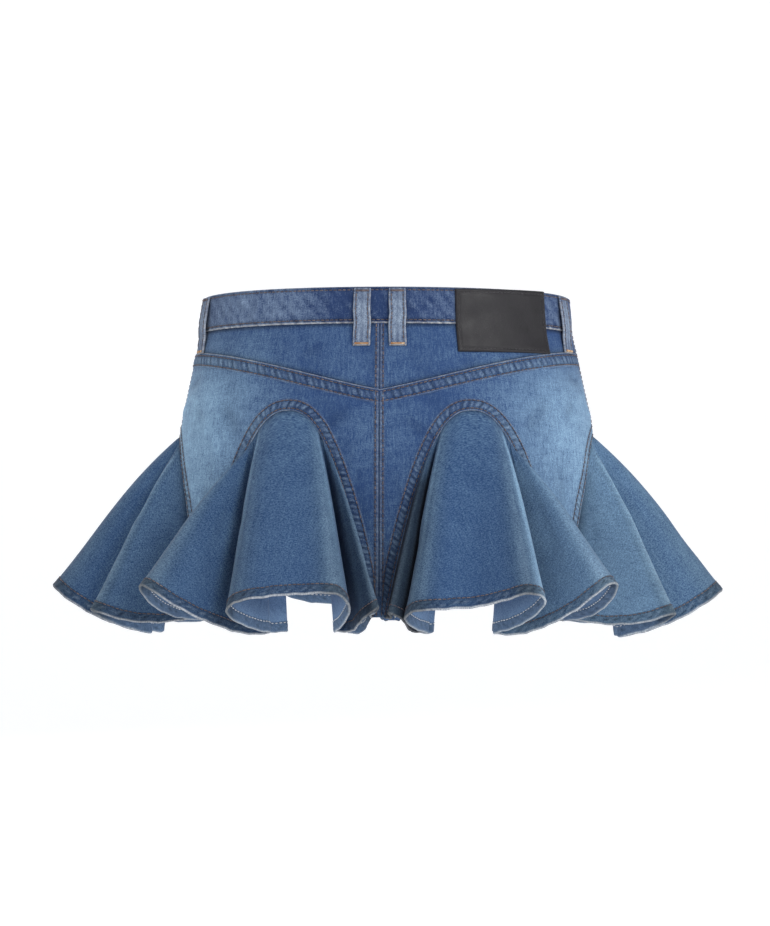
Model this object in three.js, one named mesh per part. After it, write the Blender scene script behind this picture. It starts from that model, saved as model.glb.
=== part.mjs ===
// A very short low-rise denim skirt in its worn shape: hollow, with six flared godets set in arches.
// Millimetres, +Z up, the front facing -Y and the wearer's left at +X.
// The origin is the middle of the ring that the waistband makes round the wearer.
import * as THREE from "three";

// Cloth walls and the gaps between sewn pieces
const CLOTH = 1.2;
const BAND_CLOTH = 2.6;
const LOOP_CLOTH = 1.8;
const LEATHER = 1.8;
const SEAM_GAP = 0.3;

// A place on the body has a turn, in degrees round it, and a drop below the waist's top edge.
// Turn 0 is the centre back, 90 the wearer's left side and 180 the centre front.
const BAND_HEIGHT = 27;
const TILT = 0.06;
const SQUARENESS = 0.04;
const EVENNESS = 0.11;
const CORNER_EVENNESS = 0.008;

// Half width and half depths of the body at each drop
const BODY = [
  { drop: 0, width: 145.5, back: 94, front: 90 },
  { drop: 27, width: 147.5, back: 96, front: 91 },
  { drop: 45, width: 151.5, back: 98.5, front: 93 },
  { drop: 72, width: 157.5, back: 103, front: 96 },
  { drop: 100, width: 163, back: 106, front: 99 },
  { drop: 145, width: 166.5, back: 108, front: 102 },
  { drop: 255, width: 167.5, back: 109, front: 104 },
];

// Seam lines
const YOKE_BACK_DROP = 76;
const YOKE_SIDE_DROP = 40;
const PIER_HEM_DROP = 254;

// Arches: half the turn that each opening takes up at the hem, how steeply its legs bend down,
// and the part of its half that is crown, where the folds start
const ARCH_HALF = 28.2;
const ARCH_POWER = 2.35;
const ARCH_CROWN = 0.6;

// Godets: how far they sit inside the arch's edge, and how far a fold bows out as a part of its reach
const GODET_INSET = 1.1;
const BOW = 0.06;

// Folds at a godet's feet: their length against the arch's leg, how fast the other folds come down
// to that length, and how tightly the sides hold to the legs
const FOOT_STRETCH = 1.1;
const FOOT_FADE = 3;
const FOOT_HOLD = 8;

// Waistband ends: how far the outer one laps past the centre front, and the under one runs behind it
const LAP_OVER = 8;
const LAP_UNDER = 16;
const LAP_EASE = 6;
const LAP_SLACK = 0.1;

// Belt loops: their centres round the waist, and their size
const LOOPS = [
  { name: "loop_back_left", turn: 6.2 },
  { name: "loop_side_left", turn: 74.8 },
  { name: "loop_front_left", turn: 132 },
  { name: "loop_front_right", turn: 228 },
  { name: "loop_side_right", turn: 285.2 },
  { name: "loop_back_right", turn: 353.8 },
];
const LOOP_WIDTH = 12.5;
const LOOP_LENGTH = 45;
const LOOP_TOP_DROP = 0.8;
const LOOP_BOW = 2.2;
const LAID_STEP = 6;

// Leather patch, from the centre back towards the wearer's right
const PATCH_START = 58;
const PATCH_WIDTH = 77;
const PATCH_HEIGHT = 48.5;
const PATCH_TOP_DROP = 0.6;

// Closure at the centre front
const BUTTON_RADIUS = 8.5;
const BUTTON_RIM = 1.4;
const BUTTON_HEIGHT = 3.4;
const BUTTON_SEAT = 0.4;
const ZIP_WIDTH = 26;
const ZIP_LENGTH = 84;
const ZIP_TAPE = 0.9;
const TAPE_SLACK = 0.4;
const SLIDER_WIDTH = 9;
const SLIDER_LENGTH = 13;
const SLIDER_THICKNESS = 2.4;
const SLIDER_DROP = 31;

// Fold lines of the godet left of the centre back, from its inner foot to its outer one. Each runs from
// a place on the arch's crown, -1 to 1, to a point of the hem, across and out from the arch's centre.
const BACK_LEFT_FOLDS = [
  { fold: "inner flute, near side", from: -0.9, across: -68, out: 38 },
  { fold: "inner flute, tip", from: -0.83, across: -75, out: 60 },
  { fold: "inner flute, far side", from: -0.77, across: -64, out: 51 },
  { fold: "inner valley, near side", from: -0.71, across: -49, out: 12 },
  { fold: "inner valley, far side", from: -0.64, across: -40, out: 12 },
  { fold: "middle flute, inner side", from: -0.57, across: -54, out: 78 },
  { fold: "middle flute, inner ridge", from: -0.48, across: -45, out: 94 },
  { fold: "middle flute, face", from: 0, across: -5, out: 86 },
  { fold: "middle flute, outer ridge", from: 0.48, across: 31, out: 76 },
  { fold: "middle flute, outer side", from: 0.57, across: 39, out: 62 },
  { fold: "outer valley, near side", from: 0.63, across: 11, out: 10 },
  { fold: "outer valley, far side", from: 0.69, across: 21, out: 8 },
  { fold: "outer flute, face", from: 0.75, across: 54, out: 42 },
  { fold: "outer flute, ridge", from: 0.81, across: 98, out: 58 },
  { fold: "outer flute, tip", from: 0.85, across: 106, out: 50 },
  { fold: "outer flute, far side", from: 0.9, across: 94, out: 14 },
];

// The same for the godet right of the centre back
const BACK_RIGHT_FOLDS = [
  { fold: "inner flute, near side", from: -0.9, across: -62, out: 40 },
  { fold: "inner flute, tip", from: -0.83, across: -63, out: 58 },
  { fold: "inner flute, far side", from: -0.77, across: -54, out: 51 },
  { fold: "inner valley, near side", from: -0.7, across: -45, out: 11 },
  { fold: "inner valley, far side", from: -0.64, across: -36, out: 10 },
  { fold: "middle flute, inner side", from: -0.58, across: -51, out: 60 },
  { fold: "middle flute, inner ridge", from: -0.48, across: -41, out: 72 },
  { fold: "middle flute, face", from: 0, across: 2, out: 70 },
  { fold: "middle flute, outer ridge", from: 0.48, across: 43, out: 84 },
  { fold: "middle flute, outer side", from: 0.57, across: 54, out: 72 },
  { fold: "outer valley, near side", from: 0.63, across: 15, out: 10 },
  { fold: "outer valley, far side", from: 0.69, across: 25, out: 8 },
  { fold: "outer flute, face", from: 0.75, across: 62, out: 40 },
  { fold: "outer flute, ridge", from: 0.81, across: 100, out: 60 },
  { fold: "outer flute, tip", from: 0.85, across: 108, out: 52 },
  { fold: "outer flute, far side", from: 0.9, across: 95, out: 14 },
];

// The same for a side godet, from its back foot to its front one
const SIDE_FOLDS = [
  { fold: "back flute, back face", from: -0.78, across: -70, out: 26 },
  { fold: "back flute, ridge", from: -0.56, across: -67, out: 60 },
  { fold: "back flute, front side", from: -0.46, across: -57, out: 56 },
  { fold: "back valley, back side", from: -0.37, across: -41, out: 18 },
  { fold: "back valley, front side", from: -0.31, across: -32, out: 19 },
  { fold: "middle flute, back side", from: -0.22, across: -24, out: 70 },
  { fold: "middle flute, back ridge", from: -0.12, across: -14, out: 94 },
  { fold: "middle flute, tip", from: 0, across: 0, out: 100 },
  { fold: "middle flute, front ridge", from: 0.14, across: 15, out: 92 },
  { fold: "middle flute, front side", from: 0.26, across: 25, out: 66 },
  { fold: "front valley, back side", from: 0.34, across: 30, out: 18 },
  { fold: "front valley, front side", from: 0.41, across: 40, out: 17 },
  { fold: "front flute, back side", from: 0.5, across: 56, out: 54 },
  { fold: "front flute, ridge", from: 0.6, across: 68, out: 60 },
  { fold: "front flute, front face", from: 0.8, across: 71, out: 26 },
];

// The six godets: where the arch is centred, the drop of its top, the way that the flutes stand out,
// and the length of the longest fold. A mirrored one runs the other way round.
const GODETS = [
  { name: "godet_back_left", centre: 30, facing: 0, top: 93.5, length: 165, folds: BACK_LEFT_FOLDS },
  { name: "godet_side_left", centre: 90, facing: 90, top: 107, length: 158, folds: SIDE_FOLDS },
  {
    name: "godet_front_left",
    centre: 150,
    facing: 180,
    top: 96,
    length: 163,
    folds: BACK_RIGHT_FOLDS,
    mirrored: true,
  },
  { name: "godet_front_right", centre: 210, facing: 180, top: 96, length: 163, folds: BACK_LEFT_FOLDS },
  {
    name: "godet_side_right",
    centre: 270,
    facing: 270,
    top: 107,
    length: 160,
    folds: SIDE_FOLDS,
    mirrored: true,
  },
  {
    name: "godet_back_right",
    centre: 330,
    facing: 0,
    top: 93.5,
    length: 165,
    folds: BACK_RIGHT_FOLDS,
    mirrored: true,
  },
];

// Grid steps, and the rows down a godet as parts of a fold
const CROWN_STEPS = 9;
const LEG_STEPS = 5;
const FOLD_STEPS = 3;
const HEM_DIVISIONS = 24;
const GODET_ROWS = [0, 0.1, 0.3, 0.65, 1];
const PANEL_ROWS = 4;
const YOKE_COLUMNS = 22;
const YOKE_ROWS = 2;
const BAND_COLUMNS = 76;
const LOOP_COLUMNS = 2;
const LOOP_ROWS = 8;
const PATCH_COLUMNS = 12;
const PATCH_ROWS = 5;
const STRIP_STEPS = 4;
const BUTTON_SIDES = 20;
const BUTTON_STEPS = 5;

const radians = THREE.MathUtils.degToRad;
const lerp = THREE.MathUtils.lerp;

// Colours and finishes
const DENIM = new THREE.MeshStandardMaterial({ color: "#5b7da8", roughness: 0.9, metalness: 0 });
const GODET_DENIM = new THREE.MeshStandardMaterial({ color: "#48699a", roughness: 0.9, metalness: 0 });
const BLACK_LEATHER = new THREE.MeshStandardMaterial({ color: "#3d3a40", roughness: 0.5, metalness: 0 });
const ZIP_CLOTH = new THREE.MeshStandardMaterial({ color: "#2b3550", roughness: 0.85, metalness: 0 });
const BRASS = new THREE.MeshStandardMaterial({ color: "#a0825a", roughness: 0.4, metalness: 1 });

// A table's column at a place between its rows, on a smooth curve that never swings past them
function smooth(rows, key, place, column) {
  const last = rows.length - 1;
  let i = 0;
  while (i < last - 1 && rows[i + 1][key] < place) i += 1;
  const chord = (k) => (rows[k + 1][column] - rows[k][column]) / (rows[k + 1][key] - rows[k][key]);
  const slope = (a, b) => (a * b > 0 ? (2 * a * b) / (a + b) : 0);
  const from = slope(chord(Math.max(i - 1, 0)), chord(i));
  const to = slope(chord(i), chord(Math.min(i + 1, last - 1)));
  const span = rows[i + 1][key] - rows[i][key];
  const t = THREE.MathUtils.clamp((place - rows[i][key]) / span, 0, 1);
  const h = t * t * (3 - 2 * t);
  return (
    lerp(rows[i][column], rows[i + 1][column], h) +
    span * (from * t * (1 - t) * (1 - t) - to * t * t * (1 - t))
  );
}

// A point of the body's ring in plan
function ringPoint(turn, drop) {
  const round = radians(turn);
  const angle = round - EVENNESS * Math.sin(2 * round) + CORNER_EVENNESS * Math.sin(4 * round);
  const across = Math.sin(angle);
  const along = Math.cos(angle);
  const width = smooth(BODY, "drop", drop, "width");
  const depth = smooth(BODY, "drop", drop, along < 0 ? "front" : "back");
  return new THREE.Vector2(
    width * across * (1 + SQUARENESS * along * along),
    depth * along * (1 + SQUARENESS * across * across),
  );
}

// The way out from the ring there, level
function ringOut(turn, drop) {
  const step = 0.5;
  const along = ringPoint(turn + step, drop).sub(ringPoint(turn - step, drop)).normalize();
  return new THREE.Vector2(-along.y, along.x);
}

// A point of the body, or one moved straight out from it
function bodyPoint(turn, drop, out = 0) {
  const place = ringPoint(turn, drop);
  const height = BAND_HEIGHT / 2 - drop + TILT * place.y;
  place.addScaledVector(ringOut(turn, drop), out);
  return new THREE.Vector3(place.x, place.y, height);
}

// Millimetres along the cloth for one degree of turn
function girthPerDegree(drop) {
  const step = 0.5;
  return ringPoint(step, drop).distanceTo(ringPoint(-step, drop)) / (2 * step);
}

// A closed wall from a grid: at(column, row, side) gives its outer face for side 1 and its inner for -1
function wall(columns, rows, at) {
  const positions = [];
  const index = [];
  for (const side of [1, -1]) {
    for (const row of rows) {
      for (const column of columns) positions.push(...at(column, row, side).toArray());
    }
  }
  const wide = columns.length;
  const layer = wide * rows.length;
  const quad = (a, b, c, d) => index.push(a, b, c, a, c, d);
  for (let r = 0; r < rows.length - 1; r += 1) {
    for (let c = 0; c < wide - 1; c += 1) {
      const a = r * wide + c;
      quad(a, a + 1, a + wide + 1, a + wide);
      quad(layer + a, layer + a + wide, layer + a + wide + 1, layer + a + 1);
    }
  }
  for (let c = 0; c < wide - 1; c += 1) {
    const low = layer - wide + c;
    quad(c, layer + c, layer + c + 1, c + 1);
    quad(low, low + 1, layer + low + 1, layer + low);
  }
  for (let r = 0; r < rows.length - 1; r += 1) {
    const a = r * wide;
    const b = a + wide - 1;
    quad(a, a + wide, layer + a + wide, layer + a);
    quad(b, layer + b, layer + b + wide, b + wide);
  }
  const geometry = new THREE.BufferGeometry();
  geometry.setAttribute("position", new THREE.Float32BufferAttribute(positions, 3));
  geometry.setIndex(volumeOf(positions, index) < 0 ? index.reverse() : index);
  geometry.computeVertexNormals();
  return geometry;
}

// Six times the signed volume: negative where the faces point in
function volumeOf(positions, index) {
  let volume = 0;
  const corner = (i) => new THREE.Vector3().fromArray(positions, index[i] * 3);
  for (let i = 0; i < index.length; i += 3) {
    volume += corner(i).dot(corner(i + 1).cross(corner(i + 2)));
  }
  return volume;
}

// Even steps from one value to another
function steps(from, to, count) {
  return Array.from({ length: count + 1 }, (_, i) => lerp(from, to, i / count));
}

// The arch's edge at u, -1 at one foot, 0 at its top, 1 at the other foot, moved in by inset
function archEdge(godet, u, inset = 0) {
  const height = PIER_HEM_DROP - godet.top;
  const scale = girthPerDegree(godet.top);
  const half = ARCH_HALF * scale;
  const fall = height * Math.abs(u) ** ARCH_POWER;
  const slope = (height * ARCH_POWER * Math.abs(u) ** (ARCH_POWER - 1) * Math.sign(u)) / half;
  const length = Math.hypot(1, slope);
  return {
    turn: godet.centre + (u * half - (inset * slope) / length) / scale,
    drop: godet.top + fall + inset / length,
  };
}

// Places along an arch: close together on its crown, and even in height down its legs
function archPlaces() {
  const leg = (i) => lerp(ARCH_CROWN ** ARCH_POWER, 1, i / LEG_STEPS) ** (1 / ARCH_POWER);
  const legs = Array.from({ length: LEG_STEPS }, (_, i) => leg(i + 1));
  return [
    ...legs.map((u) => -u).reverse(),
    ...steps(-ARCH_CROWN, ARCH_CROWN, 2 * CROWN_STEPS),
    ...legs,
  ];
}

// The drop of the yoke's seam
function yokeDrop(turn) {
  return lerp(YOKE_BACK_DROP, YOKE_SIDE_DROP, Math.abs(Math.sin(radians(turn))));
}

// A body panel between two turns: the seam above it, and the arches and piers that end it below
function panel(from, to, topDrop) {
  const half = SEAM_GAP / 2 / girthPerDegree(YOKE_BACK_DROP);
  const endDrop = (turn) => GODETS.find((godet) => godet.centre === turn)?.top ?? PIER_HEM_DROP;
  const columns = [
    { turn: from + half, drop: endDrop(from) },
    { turn: to - half, drop: endDrop(to) },
  ];
  for (const godet of GODETS) {
    for (const u of archPlaces()) {
      const edge = archEdge(godet, u);
      if (edge.turn > from + half && edge.turn < to - half) columns.push(edge);
    }
  }
  columns.sort((a, b) => a.turn - b.turn);
  return wall(columns, steps(0, 1, PANEL_ROWS), (column, row, side) => {
    const drop = lerp(topDrop(column.turn), column.drop, row);
    return bodyPoint(column.turn, drop, (side * CLOTH) / 2);
  });
}

// A godet: straight folds fan from the arch's crown to a fluted hem, and its two sides run down the legs
function godetWall(godet) {
  const way = godet.mirrored ? -1 : 1;
  const facing = radians(godet.facing);
  const outWay = new THREE.Vector2(Math.sin(facing), Math.cos(facing));
  const acrossWay = new THREE.Vector2(outWay.y, -outWay.x).multiplyScalar(way);
  const centre = ringPoint(godet.centre, PIER_HEM_DROP);
  const edge = (u) => {
    const place = archEdge(godet, u, GODET_INSET);
    return bodyPoint(place.turn, place.drop);
  };
  const rows = [{ from: -1 }, ...godet.folds, { from: 1 }];
  const hem = new THREE.CatmullRomCurve3(
    rows.map(({ from, across, out }) => {
      if (across === undefined) return edge(from * way).setZ(0);
      const place = centre.clone().addScaledVector(acrossWay, across).addScaledVector(outWay, out);
      return new THREE.Vector3(place.x, place.y, 0);
    }),
    false,
    "centripetal",
  );
  hem.arcLengthDivisions = HEM_DIVISIONS * (rows.length - 1);
  const lengths = hem.getLengths();
  const total = lengths[lengths.length - 1];
  const starts = rows.map(({ from }, i) => ({ at: lengths[i * HEM_DIVISIONS] / total, from }));
  const crownFall = ARCH_CROWN ** ARCH_POWER;
  const legPoint = (end, v) => edge(end * way * lerp(crownFall, 1, v) ** (1 / ARCH_POWER));
  // The share of the bow at v down a fold: nothing at both ends, and all of it a third of the way down
  const bowShare = (v) => (27 / 4) * v * (1 - v) ** 2;
  const surface = (t, v) => {
    const low = hem.getPointAt(THREE.MathUtils.clamp(t, 0, 1));
    const from = smooth(starts, "at", t, "from");
    const start = edge(from * way * ARCH_CROWN);
    const reach = Math.hypot(low.x - start.x, low.y - start.y);
    const side = Math.min(t, 1 - t) * 2;
    const end = t < 0.5 ? -1 : 1;
    const footFall = edge(end * way);
    const legLength = legPoint(end, 0).distanceTo(footFall);
    const near = (1 - side) ** FOOT_HOLD;
    const free = lerp(godet.length, legLength * FOOT_STRETCH, Math.abs(from) ** FOOT_FADE);
    const length = lerp(free, legLength, near);
    const fall = Math.sqrt(length * length - reach * reach);
    const point = start.clone().lerp(new THREE.Vector3(low.x, low.y, start.z - fall), v);
    const swell = BOW * bowShare(v) * (1 - near);
    point.x += (low.x - start.x) * swell;
    point.y += (low.y - start.y) * swell;
    const straight = legPoint(end, 0).lerp(footFall, v);
    return point.addScaledVector(legPoint(end, v).sub(straight), near);
  };
  const step = 0.002;
  const between = (i) => steps(starts[i].at, starts[i + 1].at, FOLD_STEPS).slice(1);
  const columns = [0, ...starts.slice(1).flatMap((_, i) => between(i))];
  return wall(columns, GODET_ROWS, (t, v, side) => {
    const along = surface(Math.min(t + step, 1), v).sub(surface(Math.max(t - step, 0), v));
    const down = surface(t, Math.min(v + step, 1)).sub(surface(t, Math.max(v - step, 0)));
    const out = down.cross(along).normalize().multiplyScalar(way);
    return surface(t, v).addScaledVector(out, (side * CLOTH) / 2);
  });
}

// A yoke between the waistband's seam and its own
function yoke(from, to) {
  const half = SEAM_GAP / 2 / girthPerDegree(YOKE_SIDE_DROP);
  const columns = steps(from + half, to - half, YOKE_COLUMNS);
  return wall(columns, steps(0, 1, YOKE_ROWS), (turn, row, side) => {
    const drop = lerp(BAND_HEIGHT + SEAM_GAP, yokeDrop(turn), row);
    return bodyPoint(turn, drop, (side * CLOTH) / 2);
  });
}

// The waistband: it starts behind the centre front, runs once round and ends over its own start
function waistband() {
  const scale = girthPerDegree(0);
  const under = LAP_UNDER / scale;
  const over = LAP_OVER / scale;
  const ease = LAP_EASE / scale;
  const columns = steps(-180 - under, 180 + over, BAND_COLUMNS);
  return wall(columns, steps(0, BAND_HEIGHT, 1), (turn, drop, side) => {
    const away = (turn + 180 - over) / ease - 1;
    const tucked = 1 - THREE.MathUtils.smoothstep(away, 0, 1);
    const inset = tucked * (BAND_CLOTH + SEAM_GAP + LAP_SLACK);
    return bodyPoint(turn, drop, (side * BAND_CLOTH) / 2 - inset);
  });
}

// How far the middle of something laid on the waistband or, below it, on the body stands out
function laidOut(drop, thickness) {
  const below = THREE.MathUtils.smoothstep(drop, BAND_HEIGHT, BAND_HEIGHT + LAID_STEP);
  return lerp(BAND_CLOTH, CLOTH, below) / 2 + SEAM_GAP + thickness / 2;
}

// A belt loop: a strip down the waistband that bows out between its two sewn ends
function beltLoop(turn) {
  const half = LOOP_WIDTH / 2 / girthPerDegree(0);
  const columns = steps(turn - half, turn + half, LOOP_COLUMNS);
  return wall(columns, steps(0, 1, LOOP_ROWS), (place, row, side) => {
    const drop = LOOP_TOP_DROP + row * LOOP_LENGTH;
    const bow = LOOP_BOW * Math.sin(Math.PI * row);
    return bodyPoint(place, drop, laidOut(drop, LOOP_CLOTH) + bow + (side * LOOP_CLOTH) / 2);
  });
}

// The leather patch, on the waistband and the yoke
function patch() {
  const scale = girthPerDegree(0);
  const columns = steps(-(PATCH_START + PATCH_WIDTH) / scale, -PATCH_START / scale, PATCH_COLUMNS);
  const rows = steps(PATCH_TOP_DROP, PATCH_TOP_DROP + PATCH_HEIGHT, PATCH_ROWS);
  return wall(columns, rows, (turn, drop, side) =>
    bodyPoint(turn, drop, laidOut(drop, LEATHER) + (side * LEATHER) / 2),
  );
}

// A flat strip behind the centre front, its outer face at depth inside the body's surface
function frontStrip(width, topDrop, length, depth, thickness) {
  const half = width / 2 / girthPerDegree(BAND_HEIGHT);
  const columns = steps(180 - half, 180 + half, STRIP_STEPS);
  return wall(columns, steps(topDrop, topDrop + length, STRIP_STEPS), (turn, drop, side) =>
    bodyPoint(turn, drop, -depth - thickness / 2 + (side * thickness) / 2),
  );
}

// The shank button's domed head, turned on its own axis
function button() {
  const rise = BUTTON_HEIGHT - BUTTON_RIM;
  const dome = new THREE.EllipseCurve(0, BUTTON_RIM, BUTTON_RADIUS, rise, 0, Math.PI / 2);
  const points = dome.getPoints(BUTTON_STEPS);
  points[BUTTON_STEPS].x = 0;
  const profile = [new THREE.Vector2(0, 0), new THREE.Vector2(BUTTON_RADIUS, 0), ...points];
  return new THREE.LatheGeometry(profile, BUTTON_SIDES);
}

const skirt = new THREE.Group();

function add(name, geometry, material) {
  const mesh = new THREE.Mesh(geometry, material);
  mesh.name = name;
  skirt.add(mesh);
  return mesh;
}

const bandSeam = () => BAND_HEIGHT + SEAM_GAP;
const yokeSeam = (turn) => yokeDrop(turn) + SEAM_GAP;

add("waistband", waistband(), DENIM);
add("yoke_left", yoke(0, 90), DENIM);
add("yoke_right", yoke(270, 360), DENIM);
add("back_panel_left", panel(0, 90, yokeSeam), DENIM);
add("front_panel_left", panel(90, 180, bandSeam), DENIM);
add("front_panel_right", panel(180, 270, bandSeam), DENIM);
add("back_panel_right", panel(270, 360, yokeSeam), DENIM);
for (const godet of GODETS) add(godet.name, godetWall(godet), GODET_DENIM);
for (const loop of LOOPS) add(loop.name, beltLoop(loop.turn), DENIM);
add("patch", patch(), BLACK_LEATHER);

const tapeDepth = CLOTH / 2 + SEAM_GAP + TAPE_SLACK;
const sliderDepth = tapeDepth + ZIP_TAPE + SEAM_GAP;
add("zip", frontStrip(ZIP_WIDTH, BAND_HEIGHT + 1, ZIP_LENGTH, tapeDepth, ZIP_TAPE), ZIP_CLOTH);
add(
  "zip_slider",
  frontStrip(SLIDER_WIDTH, SLIDER_DROP, SLIDER_LENGTH, sliderDepth, SLIDER_THICKNESS),
  BRASS,
);

const head = add("button", button(), BRASS);
head.position.copy(bodyPoint(180, BAND_HEIGHT / 2, BAND_CLOTH / 2 + BUTTON_SEAT));
head.rotation.x = Math.PI;

export default skirt;
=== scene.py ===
"""The looks of a very short denim skirt with six fluted godets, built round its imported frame.

Shapes are worked out in millimetres and become metres when a mesh is made. A place on the body is a
turn in degrees (0 centre back, 90 the wearer's left, 180 centre front) and a drop below the waist.
"""

import logging
import math
from dataclasses import dataclass, field
from enum import Enum
from typing import Callable, Optional, Sequence

import bpy
import numpy as np
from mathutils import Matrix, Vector

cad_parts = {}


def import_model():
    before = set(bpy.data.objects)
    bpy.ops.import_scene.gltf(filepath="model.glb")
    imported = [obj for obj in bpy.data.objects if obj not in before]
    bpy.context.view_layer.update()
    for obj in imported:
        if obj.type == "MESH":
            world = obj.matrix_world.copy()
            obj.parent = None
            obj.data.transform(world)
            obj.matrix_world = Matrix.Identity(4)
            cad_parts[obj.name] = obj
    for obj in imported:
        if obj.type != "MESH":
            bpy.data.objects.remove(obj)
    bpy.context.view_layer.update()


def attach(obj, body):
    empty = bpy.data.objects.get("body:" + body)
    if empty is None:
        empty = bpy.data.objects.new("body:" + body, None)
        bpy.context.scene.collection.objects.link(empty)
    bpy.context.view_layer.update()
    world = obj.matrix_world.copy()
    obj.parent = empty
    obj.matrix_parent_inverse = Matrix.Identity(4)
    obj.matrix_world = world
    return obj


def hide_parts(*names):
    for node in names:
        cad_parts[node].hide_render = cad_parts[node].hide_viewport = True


LOG = logging.getLogger("denim_skirt")
MM = 0.001
Array = np.ndarray
Colour = tuple[float, float, float]
Socket, NodeTree, Node, Piece = bpy.types.NodeSocket, bpy.types.NodeTree, bpy.types.Node, bpy.types.Object


# Numbers


def smoothstep(low: float, high: float, x: Array) -> Array:
    """Rises softly from 0 at low to 1 at high."""
    t = np.clip((np.asarray(x, float) - low) / (high - low), 0, 1)
    return t * t * (3 - 2 * t)


def unit(vectors: Array) -> Array:
    """The vectors, each one long."""
    return vectors / np.maximum(np.linalg.norm(vectors, axis=-1, keepdims=True), 1e-9)


def ripple(x: Array, pitch: float, seed: int) -> Array:
    """An uneven wave.

    Args:
        x: Places along it, in millimetres.
        pitch: The mean distance between its crests.
        seed: Picks its phases.

    Returns:
        Heights from about -1 to 1.
    """
    phase = np.random.default_rng(seed).uniform(0, 2 * math.pi, 3)
    turn = 2 * math.pi * np.asarray(x, float) / pitch
    return (
        0.55 * np.sin(turn + phase[0])
        + 0.3 * np.sin(0.62 * turn + phase[1])
        + 0.25 * np.sin(1.73 * turn + phase[2])
    )


def smooth_table(places: Sequence[float], values: Sequence[float], at: Array) -> Array:
    """Reads a table on a smooth curve that never swings past its rows.

    Args:
        places: Where each row stands, rising.
        values: What each row holds.
        at: Where to read it.

    Returns:
        The values there.
    """
    x, y, at = np.asarray(places, float), np.asarray(values, float), np.asarray(at, float)
    chord = np.diff(y) / np.diff(x)
    product = chord[:-1] * chord[1:]
    total = np.where(product > 0, chord[:-1] + chord[1:], 1)
    inner = np.where(product > 0, 2 * product / total, 0)
    slope = np.concatenate([[chord[0]], inner, [chord[-1]]])
    i = np.clip(np.searchsorted(x, at) - 1, 0, len(x) - 2)
    span = x[i + 1] - x[i]
    t = np.clip((at - x[i]) / span, 0, 1)
    h = t * t * (3 - 2 * t)
    bend = slope[i] * t * (1 - t) ** 2 - slope[i + 1] * t * t * (1 - t)
    return y[i] * (1 - h) + y[i + 1] * h + span * bend


def srgb(red: int, green: int, blue: int) -> Colour:
    """A screen colour, 0 to 255, as the linear colour that shaders use."""
    parts = (c / 255 for c in (red, green, blue))
    return tuple(c / 12.92 if c <= 0.04045 else ((c + 0.055) / 1.055) ** 2.4 for c in parts)


# Shader nodes


@dataclass
class NodeSheet:
    """A node tree with short ways to add what the finishes use."""

    tree: NodeTree

    def add(self, kind: str, **settings: object) -> Node:
        """Adds a node and sets its properties."""
        node = self.tree.nodes.new(kind)
        for key, value in settings.items():
            setattr(node, key, value)
        return node

    def join(self, socket: Socket, value: object) -> None:
        """Links an input, or sets its value."""
        if isinstance(value, Socket):
            self.tree.links.new(value, socket)
        else:
            socket.default_value = value

    def feed(self, node: Node, **inputs: object) -> None:
        """Links or sets a node's inputs, named with underscores for spaces."""
        for key, value in inputs.items():
            self.join(node.inputs[key.replace("_", " ")], value)

    def math(self, operation: str, a: object, b: object = 0.0, clamp: bool = False) -> Socket:
        """An operation of two numbers."""
        node = self.add("ShaderNodeMath", operation=operation, use_clamp=clamp)
        for socket, value in zip(node.inputs, (a, b)):
            self.join(socket, value)
        return node.outputs[0]

    def plus(self, a: object, b: object, clamp: bool = False) -> Socket:
        """The sum of two numbers."""
        return self.math("ADD", a, b, clamp)

    def times(self, a: object, b: object, clamp: bool = False) -> Socket:
        """The product of two numbers."""
        return self.math("MULTIPLY", a, b, clamp)

    def parts(self, vector: Socket) -> Sequence[Socket]:
        """The three parts of a vector."""
        node = self.add("ShaderNodeSeparateXYZ")
        self.feed(node, Vector=vector)
        return node.outputs

    def stretch(self, vector: Socket, x: float, y: float) -> Socket:
        """The vector with its two first parts scaled."""
        node = self.add("ShaderNodeVectorMath", operation="MULTIPLY")
        for socket, value in zip(node.inputs, (vector, (x, y, 1))):
            self.join(socket, value)
        return node.outputs[0]

    def noise(self, vector: Socket, detail: float = 2.0) -> Socket:
        """Smooth noise about 0, mostly between -1 and 1."""
        node = self.add("ShaderNodeTexNoise", noise_dimensions="2D")
        self.feed(node, Vector=vector, Scale=1.0, Detail=detail, Roughness=0.6)
        return self.times(self.math("SUBTRACT", node.outputs[0], 0.5), 4.0)

    def mix(self, share: object, a: object, b: object, blend: str = "MIX") -> Socket:
        """Two colours mixed."""
        node = self.add("ShaderNodeMix", data_type="RGBA", blend_type=blend)
        for socket, value in zip((node.inputs[0], node.inputs[6], node.inputs[7]), (share, a, b)):
            self.join(socket, value)
        return node.outputs[2]

    def bump(self, height: Socket, strength: float, distance: float) -> Socket:
        """The normal that a relief gives."""
        node = self.add("ShaderNodeBump")
        self.feed(node, Height=height, Strength=strength, Distance=distance)
        return node.outputs[0]


class SharedEffect(Enum):
    """The shader groups that several finishes share."""

    TWILL = "twill_weave"
    WEAR_AND_SHADE = "wear_and_painted_shade"
    GRAIN = "leather_grain"


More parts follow.
